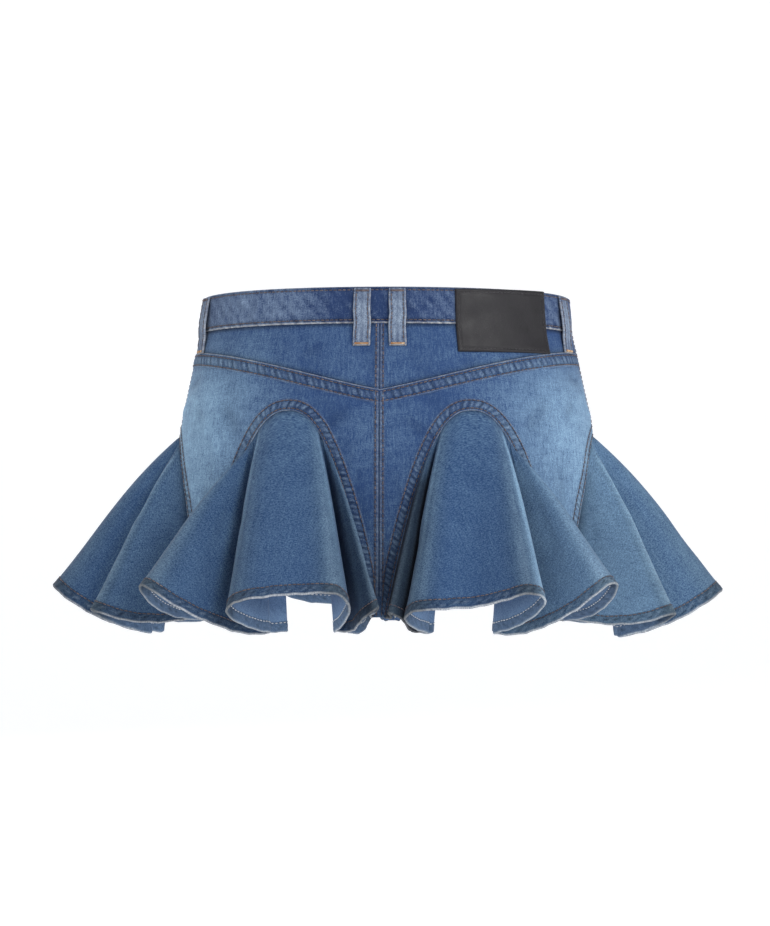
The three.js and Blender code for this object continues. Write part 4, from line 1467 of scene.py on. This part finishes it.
@dataclass
class Waistband:
    """The doubled waistband: it starts behind the centre front and ends over its own start."""

    lap_over: float = 8.0
    lap_under: float = 16.0
    lap_ease: float = 6.0
    lap_slack: float = 0.1
    stitch_drops: tuple[float, float] = (1.7, 24.9)
    drops: tuple[float, ...] = (0, 0.4, 1.0, 1.7, 2.6, 5, 8, 11, 14, 17, 20, 22.5, 24, 24.9, 25.7, 26.2,
                                26.7, 27.2)
    rope_drop: float = 26.2
    rope_pitch: float = 7.0
    groove_depth: float = 0.35
    cut_height: float = 0.0272
    end_stitches: float = 2.2
    buttonhole_length: float = 15.0

    def inset(self, turn: Array) -> Array:
        """How far its start lies in, behind its end."""
        scale = BODY.girth(0)
        away = (turn + 180 - self.lap_over / scale) / (self.lap_ease / scale) - 1
        return (1 - smoothstep(0, 1, away)) * (BODY.band_cloth + BODY.gap + self.lap_slack)

    def out(self, turn: Array, drop: Array) -> Array:
        """How far out its outer face lies: grooves at the stitches, and roping along the lower edge."""
        run = turn * BODY.girth(0)
        top, low = self.stitch_drops
        groove = np.exp(-((drop - top) / 0.8) ** 2) + np.exp(-((drop - low) / 0.8) ** 2)
        upper = 0.5 * ripple(run + drop, self.rope_pitch, 21) * np.exp(-((drop - 0.8) / 1.2) ** 2)
        wave = 0.4 * self.puckers(run, drop) * np.exp(-((drop - 14) / 9) ** 2)
        face = BODY.band_cloth / 2 - self.groove_depth * groove
        return face + 0.3 * (self.rope(run, drop) + upper) + wave

    def rope(self, run: Array, drop: Array) -> Array:
        """The roping along its lower edge."""
        return ripple(run + drop, self.rope_pitch, 21) * np.exp(-((drop - self.rope_drop) / 1.3) ** 2)

    def puckers(self, run: Array, drop: Array) -> Array:
        """Short slanting puckers, as a worn band has."""
        return 1.3 * ripple(run + drop * 0.9, 12, 22) * (0.55 + 0.45 * ripple(drop - run * 0.25, 13, 27))

    def from_end(self, turn: Array) -> Array:
        """Millimetres from the lap's end, which shows at the front."""
        return (180 - turn) * BODY.girth(0) + self.lap_over

    def build(self, cuts: Cuts) -> None:
        """Builds the band, and sews its rows and its buttonhole."""
        scale = BODY.girth(0)
        turn = np.linspace(-180 - self.lap_under / scale, 180 + self.lap_over / scale, 700)
        turn, drop = np.meshgrid(turn, self.drops)
        inset = self.inset(turn)
        outer = BODY.point(turn, drop, self.out(turn, drop) - inset)
        inner = BODY.point(turn, drop, -BODY.band_cloth / 2 - inset)
        run = turn * scale
        low = self.stitch_drops[1]
        rope, folds = self.rope(run, drop), self.puckers(run, drop)
        away = np.minimum(np.abs(turn), 180 - np.abs(turn))
        fade = 0.02 + 0.2 * smoothstep(13, 42, away) * (0.7 + 0.3 * np.sign(turn)) + 0.09 * folds
        fade = fade + 0.04 * ripple(run, 90, 23) + 0.12 * np.maximum(rope, 0)
        edge = (0.72 + 0.3 * ripple(run, 6, 28)) * smoothstep(26.2, 26.8, drop) + 0.15 * np.maximum(rope, 0)
        edge = edge + 0.8 * smoothstep(1.4, 0.4, self.from_end(turn))
        # Painted shade in the stitch grooves and in the troughs of the puckers and roping.
        shade = 0.7 * np.exp(-((drop - low) / 0.9) ** 2) + 0.4 * np.exp(-((drop - 1.2) / 1.1) ** 2)
        shade = shade + 0.15 * np.maximum(-folds, 0) + 0.4 * np.maximum(-rope, 0)
        wear_and_shade, inside = layered(fade, edge, shade), layered(0.36, 0.3 * edge, 0)
        shell = ClothShell(outer, inner, cloth_place(run, drop), wear_and_shade, inside, rim=0.3, rim_edge=0.4)
        band = shell.build("waistband_cloth", BAND_OUTSIDE, INSIDE)
        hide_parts("waistband")
        long = float(np.linalg.norm(np.diff(outer[8], axis=0), axis=1).sum()) * MM
        cuts.add(band, (long, self.cut_height), long * self.cut_height * 0.998)
        thread = StitchWork(RUST, seed=20)
        for at in self.stitch_drops:
            turn = np.linspace(-176, 180 + (self.lap_over - 2) / scale, 900)
            drop = np.full_like(turn, at)
            sew_on_body(thread, turn, drop, self.out(turn, drop) - self.inset(turn))
        drop = np.linspace(3, 24, 40)
        turn = np.full_like(drop, 180 + (self.lap_over - self.end_stitches) / scale)
        sew_on_body(thread, turn, drop, self.out(turn, drop))
        rows = thread.build("waistband_stitching")
        cuts.sew_on(band.name, rows, self.buttonhole())
        LOG.info("%s: %.3f m long, with its stitching", band.name, long)

    def buttonhole(self) -> Piece:
        """The keyhole's close stitches, round the button at the band's end."""
        work = StitchWork(RUST, seed=25)
        scale = BODY.girth(0)
        a = np.linspace(0, 2 * math.pi, 70, endpoint=False)
        half = self.buttonhole_length / 2
        x = np.cos(a) * half * (1 + 0.1 * np.cos(a)) - 4
        y = np.sin(a) * (1.3 + 0.9 * smoothstep(0.3, 1, np.cos(a)))
        turn, drop = 180 - x / scale, BODY.band_height / 2 + y
        centre = BODY.point(turn, drop, self.out(turn, drop))
        up = BODY.outward(turn, drop)
        inward = BODY.point(180 - (x * 0.8 - 0.8) / scale, BODY.band_height / 2 + 0 * y, self.out(turn, drop))
        work.place(centre + up * 0.15, unit(inward - centre), up, 2.0)
        hole = work.build("buttonhole")
        return hole


@dataclass
class BeltLoops:
    """Six belt loops: doubled strips with a row of stitches down each edge and a tack at each end."""

    width: float = 12.0
    length: float = 43.8
    thickness: float = 1.8
    top_drop: float = 0.8
    bow: float = 2.2
    laid_step: float = 6.0
    columns: tuple[float, ...] = (0, 0.35, 0.6, 0.74, 0.84, 0.94, 1)
    groove_place: float = 0.74
    tack_rows: tuple[float, float] = (0.035, 0.97)
    tack_stitches: int = 17
    tack_length: float = 1.7
    turns: tuple[tuple[str, float], ...] = (
        ("loop_back_left", 6.2), ("loop_side_left", 74.8), ("loop_front_left", 132.0),
        ("loop_front_right", 228.0), ("loop_side_right", 285.2), ("loop_back_right", 353.8),
    )

    def out(self, row: Array, side: float) -> Array:
        """How far out a face lies at a place down the loop."""
        drop = self.top_drop + row * self.length
        below = smoothstep(BODY.band_height, BODY.band_height + self.laid_step, drop)
        base = (BODY.band_cloth * (1 - below) + BODY.cloth * below) / 2 + BODY.gap + self.thickness / 2
        return base + self.bow * np.sin(math.pi * row) + side * self.thickness / 2

    def build(self, cuts: Cuts) -> None:
        """Builds and sews the loops."""
        edges, tacks = StitchWork(RUST, seed=30), StitchWork(AMBER, seed=31)
        scale, half = BODY.girth(0), self.width / 2
        across = np.array([*(-x for x in self.columns[:0:-1]), *self.columns]) * half
        for k, (name, turn) in enumerate(self.turns):
            row, x = np.meshgrid(np.linspace(0, 1, 46), across, indexing="ij")
            down = row * self.length
            drop = self.top_drop + down
            place = turn + (x + 0.35 * ripple(down, 26, 80 + k)) / scale
            groove = np.exp(-((np.abs(x) - half * self.groove_place) / 0.7) ** 2)
            rope = ripple(down + x, 6.0, 90 + k) * smoothstep(half * 0.78, half, np.abs(x))
            hollow = np.exp(-(x / 2.2) ** 2)
            face = self.out(row, 1) - 0.3 * groove + 0.22 * rope - 0.25 * hollow
            outer, inner = BODY.point(place, drop, face), BODY.point(place, drop, self.out(row, -1))
            rub = smoothstep(half * 0.9, half, np.abs(x)) * (0.3 + 0.4 * ripple(down, 9, 95 + k))
            worn = np.exp(-((np.abs(x + 0.3 * ripple(down, 14, 99 + k)) - 2.5) / 0.8) ** 2)
            ends = smoothstep(0.97, 1, row)
            crown = np.sin(math.pi * row) ** 2
            fade = 0.2 + 0.17 * crown + 0.12 * np.maximum(rope, 0) + 0.05 * ripple(down, 12, 85 + k)
            edge = rub + ends + 0.25 * np.maximum(rope, 0)
            # Painted shade in the stitch grooves and the middle hollow.
            wear_and_shade = layered(fade + 0.14 * worn, edge, 0.6 * groove + 0.25 * hollow)
            shell = ClothShell(outer, inner, cloth_place(x, drop), wear_and_shade, rim=0.3, rim_edge=0.25)
            cloth = shell.build(f"{name}_cloth", LOOP_OUTSIDE, INSIDE)
            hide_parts(name)
            cuts.add(cloth, (self.width * MM, self.length * MM), held="stretched",
                     rests_on=["waistband_cloth"])
            for side in (4, -5):
                up = BODY.outward(place[:, side], drop[:, side])
                edges.row(outer[:, side - (1 if side > 0 else -1)], up, bare=3.4, lift=0.16)
            for work, at in zip((edges, tacks), self.tack_rows):
                self.tack(work, turn, at)
        for piece in (edges.build("loop_stitching"), tacks.build("loop_tacks")):
            cuts.sew_on("loop_back_left_cloth", piece)
        LOG.info("%d belt loops", len(self.turns))

    def tack(self, work: StitchWork, turn: float, row: float) -> None:
        """Sews a tack of close stitches across a loop's end."""
        scale = BODY.girth(0)
        reach = self.width / 2 - 1.2
        x = np.linspace(-reach, reach, self.tack_stitches)
        place = turn + x / scale
        drop = np.full_like(place, self.top_drop + row * self.length)
        up = BODY.outward(place, drop)
        lean = np.where(np.arange(len(x)) % 2, 0.22, -0.22)[:, None]
        side = np.stack([-up[:, 1], up[:, 0], np.zeros(len(x))], -1)
        along = unit(np.array([0, 0, -1.0]) + side * lean)
        face = BODY.point(place, drop, self.out(np.full_like(place, row), 1))
        work.place(face + up * 0.2, along, up, self.tack_length)


@dataclass
class LeatherPatch:
    """The bare leather patch on the waistband and yoke, sewn round near its edge."""

    start: float = 58.0
    width: float = 77.0
    height: float = 48.5
    top_drop: float = 0.6
    thickness: float = 1.8
    laid_step: float = 17.0
    margin: float = 2.4
    raised: float = 1.6
    edge_rows: tuple[float, ...] = (0, 0.4, 1.0, 1.7, 2.4, 3.2)

    def place(self, x: Array, y: Array) -> tuple[Array, Array]:
        """The turn and drop of a place on it, from its outer upper corner."""
        drop = self.top_drop + y - self.raised * (1 - x / self.width)
        return -(self.start + self.width - x) / BODY.girth(0), drop

    def out(self, drop: Array) -> Array:
        """How far out its middle lies."""
        below = smoothstep(BODY.band_height, BODY.band_height + self.laid_step, drop)
        return (BODY.band_cloth * (1 - below) + BODY.cloth * below) / 2 + BODY.gap + self.thickness / 2

    def build(self, cuts: Cuts) -> None:
        """Builds and sews the patch."""
        near = np.array(self.edge_rows)
        x = np.concatenate([near, np.linspace(5, self.width - 5, 52), self.width - near[::-1]])
        y = np.concatenate([near, np.linspace(5, self.height - 5, 32), self.height - near[::-1]])
        y, x = np.meshgrid(y, x, indexing="ij")
        inset = np.minimum(np.minimum(x, self.width - x), np.minimum(y, self.height - y))
        turn, drop = self.place(x, y)
        groove = np.exp(-((inset - self.margin) / 0.6) ** 2)
        swell = 0.3 * ripple(x + 0.6 * y, 41, 51) + 0.22 * ripple(y - 0.3 * x, 29, 52)
        round_off = 0.55 * smoothstep(1.1, 0, inset)
        half, out = self.thickness / 2, self.out(drop)
        face = out + half - 0.3 * groove - round_off + swell * smoothstep(0, 6, inset)
        outer, inner = BODY.point(turn, drop, face), BODY.point(turn, drop, out - half)
        # Its third part is painted shade in the stitch groove, which the leather finish does not read.
        wear_and_shade = layered(0, 0.5 * smoothstep(0.9, 0, inset), 0.3 * groove)
        shell = ClothShell(outer, inner, cloth_place(x, y), wear_and_shade, rim=0.25, rim_edge=0.35)
        patch = shell.build("patch_leather", PATCH_LEATHER, PATCH_LEATHER)
        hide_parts("patch")
        work = StitchWork(DARK, seed=55)
        m = self.margin
        right, low = self.width - m, self.height - m
        corners = [(m, m), (right, m), (right, low), (m, low), (m, m)]
        share = np.linspace(0, 1, 60)
        for (x0, y0), (x1, y1) in zip(corners[:-1], corners[1:]):
            turn, drop = self.place(x0 + (x1 - x0) * share, y0 + (y1 - y0) * share)
            sew_on_body(work, turn, drop, self.out(drop) + half - 0.25, lift=0.12)
        rows = work.build("patch_stitching")
        cuts.sew_on("waistband_cloth", patch, rows)
        LOG.info("patch: %.0f by %.0f mm", self.width, self.height)


# Closure


def lathe(profile: Sequence[tuple[float, float]], sides: int, origin: Array,
          axis: Array) -> tuple[Array, Array]:
    """Turns a profile round an axis.

    Args:
        profile: Radius and height of each ring.
        sides: How many points a ring has.
        origin: Where the axis starts.
        axis: Its way.

    Returns:
        Points and faces.
    """
    axis = unit(np.asarray(axis, float))
    side = unit(np.cross(axis, (0, 0, 1.0)))
    other = np.cross(side, axis)
    angle = np.linspace(0, 2 * math.pi, sides, endpoint=False)
    rings = [origin + axis * h + (np.outer(np.cos(angle), side) + np.outer(np.sin(angle), other)) * r
             for r, h in profile]
    faces = []
    for ring in range(len(profile) - 1):
        for k in range(sides):
            a, b = ring * sides + k, ring * sides + (k + 1) % sides
            faces.append((a, b, b + sides, a + sides))
    return np.concatenate(rings), np.array(faces)


@dataclass
class FrontClosure:
    """The zip behind the centre front, its slider, and the button."""

    button_radius: float = 8.5
    button_rim: float = 1.4
    button_height: float = 3.4
    button_seat: float = 0.4
    zip_width: float = 26.0
    zip_length: float = 84.0
    tape: float = 0.9
    tape_slack: float = 0.4
    grain_scale: float = 2.7
    slider_width: float = 9.0
    slider_drop: float = 31.0
    tooth: tuple[float, float, float] = (3.0, 0.9, 1.0)
    tooth_pitch: float = 1.3
    tooth_stagger: float = 0.28

    def strip(self, width: float, top: float, length: float, depth: float, thickness: float,
              steps: tuple[int, int]) -> tuple[Array, Array, Array, Array]:
        """Grids of a flat strip behind the centre front.

        Returns:
            Its outer and inner points, and its turns and drops.
        """
        half = width / 2 / BODY.girth(BODY.band_height)
        drop, turn = np.meshgrid(np.linspace(top, top + length, steps[0]),
                                 np.linspace(180 - half, 180 + half, steps[1]), indexing="ij")
        return BODY.point(turn, drop, -depth), BODY.point(turn, drop, -depth - thickness), turn, drop

    def build(self, cuts: Cuts) -> None:
        """Builds the zip, the slider and the button."""
        depth = BODY.cloth / 2 + BODY.gap + self.tape_slack
        outer, inner, turn, drop = self.strip(self.zip_width, BODY.band_height + 1, self.zip_length, depth,
                                              self.tape, (60, 16))
        wear_and_shade = np.zeros((*turn.shape, 3)) + (0.2, 0, 0)
        grain = cloth_place(turn * self.grain_scale, drop)
        tape = ClothShell(outer, inner, grain, wear_and_shade, rim_edge=0.3).build("zip_tape", TAPE, TAPE)
        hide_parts("zip")
        cuts.add(tape, (self.zip_width * MM, self.zip_length * MM), held="stretched",
                 rests_on=["front_panel_left_cloth", "front_panel_right_cloth"])
        cuts.sew_on(tape.name, self.teeth(depth + self.tape), self.slider(depth + self.tape + BODY.gap))
        self.button()
        LOG.info("closure: zip, slider and button")

    def box_rows(self, turn: Array, drop: Array, depth: float,
                 size: tuple[float, float, float]) -> tuple[Array, Array]:
        """Small bevelled blocks behind the front, one at each place.

        Args:
            turn: Their turns.
            drop: Their drops.
            depth: How far in they start.
            size: Their width, height and thickness.

        Returns:
            Points and faces.
        """
        out = BODY.outward(turn, drop)
        side = np.stack([-out[:, 1], out[:, 0], np.zeros(len(turn))], -1)
        centre = BODY.point(turn, drop, -depth)
        up = np.array([0, 0, 1.0])
        wide, high, thick = size
        corners = []
        for share, level in ((1.0, 0.0), (1.0, 0.75), (0.7, 1.0)):
            for a, b in ((-1, -1), (1, -1), (1, 1), (-1, 1)):
                corners.append(centre + side * (a * share * wide / 2) + up * (b * share * high / 2)
                               - out * (level * thick))
        points = np.stack(corners, 1)
        face = [(3, 2, 1, 0), (8, 9, 10, 11)]
        for ring in range(2):
            for k in range(4):
                a, b = ring * 4 + k, ring * 4 + (k + 1) % 4
                face.append((a, b, b + 4, a + 4))
        faces = (np.arange(len(points))[:, None, None] * 12 + np.array(face)[None]).reshape(-1, 4)
        return points.reshape(-1, 3), faces

    def teeth(self, depth: float) -> Piece:
        """The zip's two rows of interlocked teeth."""
        drop = np.arange(BODY.band_height + 4, BODY.band_height + self.zip_length - 3, self.tooth_pitch)
        turn = 180 + np.where(np.arange(len(drop)) % 2, self.tooth_stagger, -self.tooth_stagger)
        points, faces = self.box_rows(turn, drop, depth - 0.2, self.tooth)
        made = make_object("zip_teeth", points, faces, [BRASS])
        return made

    def slider(self, depth: float) -> Piece:
        """The slider: a waisted body with a bridge, and its pull hanging from it."""
        blocks = [
            (3.0, 0.0, (self.slider_width, 5.6, 1.5)), (8.2, 0.0, (self.slider_width * 0.72, 5.4, 1.5)),
            (5.2, 1.3, (2.2, 7.4, 1.0)), (10.4, 1.1, (5.2, 5.0, 1.2)),
        ]
        parts, faces, count = [], [], 0
        for down, inward, size in blocks:
            place = np.array([180.0]), np.array([self.slider_drop + down])
            points, face = self.box_rows(*place, depth + inward, size)
            parts.append(points)
            faces.append(face + count)
            count += len(points)
        made = make_object("zip_slider_metal", np.concatenate(parts), np.concatenate(faces), [BRASS])
        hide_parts("zip_slider")
        return made

    def button(self) -> Piece:
        """The shank button: a rolled rim round a sunk ring and a low dome."""
        r, h, rim = self.button_radius, self.button_height, self.button_rim
        profile = [(0.01, 0), (r * 0.7, 0), (r * 0.96, 0.25), (r, rim * 0.7), (r * 0.97, rim * 1.5),
                   (r * 0.9, h * 0.78), (r * 0.83, h * 0.8), (r * 0.77, h * 0.66), (r * 0.7, h * 0.62),
                   (r * 0.62, h * 0.7), (r * 0.45, h * 0.86), (r * 0.22, h * 0.97), (0.01, h)]
        origin = BODY.point(180.0, BODY.band_height / 2, BODY.band_cloth / 2 + self.button_seat)
        points, faces = lathe(profile, 48, origin, BODY.outward(180.0, 0.0))
        made = make_object("button_metal", points, faces, [BRASS])
        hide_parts("button")
        return made


# Studio


@dataclass(frozen=True)
class SoftLight:
    """A square soft light: where it hangs, its side in metres, and its power."""

    name: str
    place: tuple[float, float, float]
    size: float
    power: float

    def hang(self) -> None:
        """Hangs the light, facing the skirt."""
        data = bpy.data.lights.new(self.name, "AREA")
        data.size, data.energy = self.size, self.power
        lamp = bpy.data.objects.new(self.name, data)
        lamp.location = self.place
        aim = Vector((0, 0, -0.1)) - Vector(self.place)
        lamp.rotation_euler = aim.to_track_quat("-Z", "Y").to_euler()
        bpy.context.scene.collection.objects.link(lamp)


LIGHTS = (
    SoftLight("key_light", (-1.35, 2.3, 1.15), 0.9, 46),
    SoftLight("fill_light", (1.5, 2.2, 0.5), 1.6, 4.5),
    SoftLight("side_light", (-2.3, 1.2, -0.15), 1.0, 12),
    SoftLight("top_light", (0.2, -0.2, 2.2), 1.2, 12),
    SoftLight("front_light", (1.1, -2.2, 1.1), 1.3, 30),
)


@dataclass
class Studio:
    """A pale floor, soft lights, and the camera at the photograph's angle."""

    floor_height: float = -0.62
    floor_sides: int = 128
    flat_radius: float = 3.2
    wall_radius: float = 3.0
    glow: float = 0.3
    camera_distance: float = 2.5
    camera_turn: float = 2.8
    camera_height: float = -0.1175
    lens: float = 121.5
    picture_height: int = 926
    shift: tuple[int, int] = (-1, 2)
    sky: Colour = (0.97, 0.98, 1)
    sky_strength: float = 0.62

    def floor(self) -> Piece:
        """The floor, which curves up into a pale wall all round with no edge."""
        sides = self.floor_sides
        angle = np.linspace(0, 2 * math.pi, sides, endpoint=False)
        rise = np.linspace(0, math.pi / 2, 25)
        profile = [(r, 0.0) for r in (0.001, 0.6, 1.4, 2.3)]
        profile += [(self.flat_radius + self.wall_radius * math.sin(a), self.wall_radius * (1 - math.cos(a)))
                    for a in rise]
        rings = [np.stack([np.cos(angle) * r, np.sin(angle) * r, np.full(sides, self.floor_height + h)], -1)
                 for r, h in profile]
        faces = []
        for ring in range(len(rings) - 1):
            for k in range(sides):
                a, b = ring * sides + k, ring * sides + (k + 1) % sides
                faces.append((a, a + sides, b + sides, b))
        paint = StudioPaint(glow=self.glow)
        floor = make_object("studio_floor", np.concatenate(rings) / MM, np.array(faces), [paint])
        return floor

    def camera(self) -> None:
        """The camera, level, a little to the right of the centre back."""
        turn = math.radians(self.camera_turn)
        data = bpy.data.cameras.new("camera")
        data.lens, data.sensor_width = self.lens, 36
        data.shift_x, data.shift_y = (pixels / self.picture_height for pixels in self.shift)
        data.clip_end = 200
        camera = bpy.data.objects.new("camera", data)
        camera.location = (-math.sin(turn) * self.camera_distance, math.cos(turn) * self.camera_distance,
                           self.camera_height)
        camera.rotation_euler = (math.pi / 2, 0, math.pi + turn)
        bpy.context.scene.collection.objects.link(camera)
        bpy.context.scene.camera = camera

    def build(self) -> None:
        """Sets up the floor, the lights, the sky and the camera."""
        self.camera()
        self.floor()
        for light in LIGHTS:
            light.hang()
        world = bpy.data.worlds.new("studio_sky")
        world.use_nodes = True
        colour, strength = world.node_tree.nodes["Background"].inputs[:2]
        colour.default_value, strength.default_value = (*self.sky, 1), self.sky_strength
        bpy.context.scene.world = world
        bpy.context.scene.view_settings.view_transform = "Standard"
        LOG.info("studio: floor, lights and camera")


@dataclass
class Skirt:
    """The whole skirt."""

    back_top: float = 93.5
    side_top: float = 107.0
    front_top: float = 96.0

    def godets(self) -> list[Godet]:
        """The six godets, from the back left round to the back right."""
        return [
            Godet("godet_back_left", Arch(30, self.back_top), 0, 165, BACK_LEFT_FOLDS, seed=101,
                  faded=0.07),
            Godet("godet_side_left", Arch(90, self.side_top), 90, 158, SIDE_FOLDS, seed=102, faded=0.06,
                  side_fade_and_light=(0.06, 0.0)),
            Godet("godet_front_left", Arch(150, self.front_top), 180, 163, BACK_RIGHT_FOLDS, True, seed=103),
            Godet("godet_front_right", Arch(210, self.front_top), 180, 163, BACK_LEFT_FOLDS, seed=104),
            Godet("godet_side_right", Arch(270, self.side_top), 270, 160, SIDE_FOLDS, True, seed=105,
                  faded=0.17, side_fade_and_light=(0.15, 0.0)),
            # The back right godet's inner flute gets painted shade and its outer flank painted light.
            Godet("godet_back_right", Arch(330, self.back_top), 0, 165, BACK_RIGHT_FOLDS, True, seed=106,
                  faded=0.05, inner_shade=0.75, side_fade_and_light=(0.0, 0.22)),
        ]

    def build(self) -> None:
        """Builds the pieces in the order that they are sewn."""
        godets = self.godets()
        arches = [godet.arch for godet in godets]
        cuts = Cuts()
        Waistband().build(cuts)
        YokePiece("yoke_left", 0, 90).build(cuts)
        YokePiece("yoke_right", 270, 360).build(cuts)
        BodyPanel("back_panel_left", 0, 90, arches, True).build(cuts)
        BodyPanel("front_panel_left", 90, 180, arches, False).build(cuts)
        BodyPanel("front_panel_right", 180, 270, arches, False).build(cuts)
        BodyPanel("back_panel_right", 270, 360, arches, True).build(cuts)
        outside, inside = StitchWork(RUST, seed=110), StitchWork(CHAIN, seed=120)
        for godet in godets:
            godet.dress(cuts, outside, inside)
        for work, name in ((outside, "hem_stitching"), (inside, "hem_chain_stitching")):
            stitches = work.build(name)
            cuts.sew_on("godet_back_left_cloth", stitches)
        BodySeams(arches).build(cuts)
        BeltLoops().build(cuts)
        LeatherPatch().build(cuts)
        FrontClosure().build(cuts)
        cuts.declare()


def main() -> None:
    """Loads the frame, builds the skirt and the studio, and writes down how large they came out."""
    logging.basicConfig(level=logging.INFO, format="%(message)s")
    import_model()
    Skirt().build()
    Studio().build()


if __name__ == "__main__":
    main()
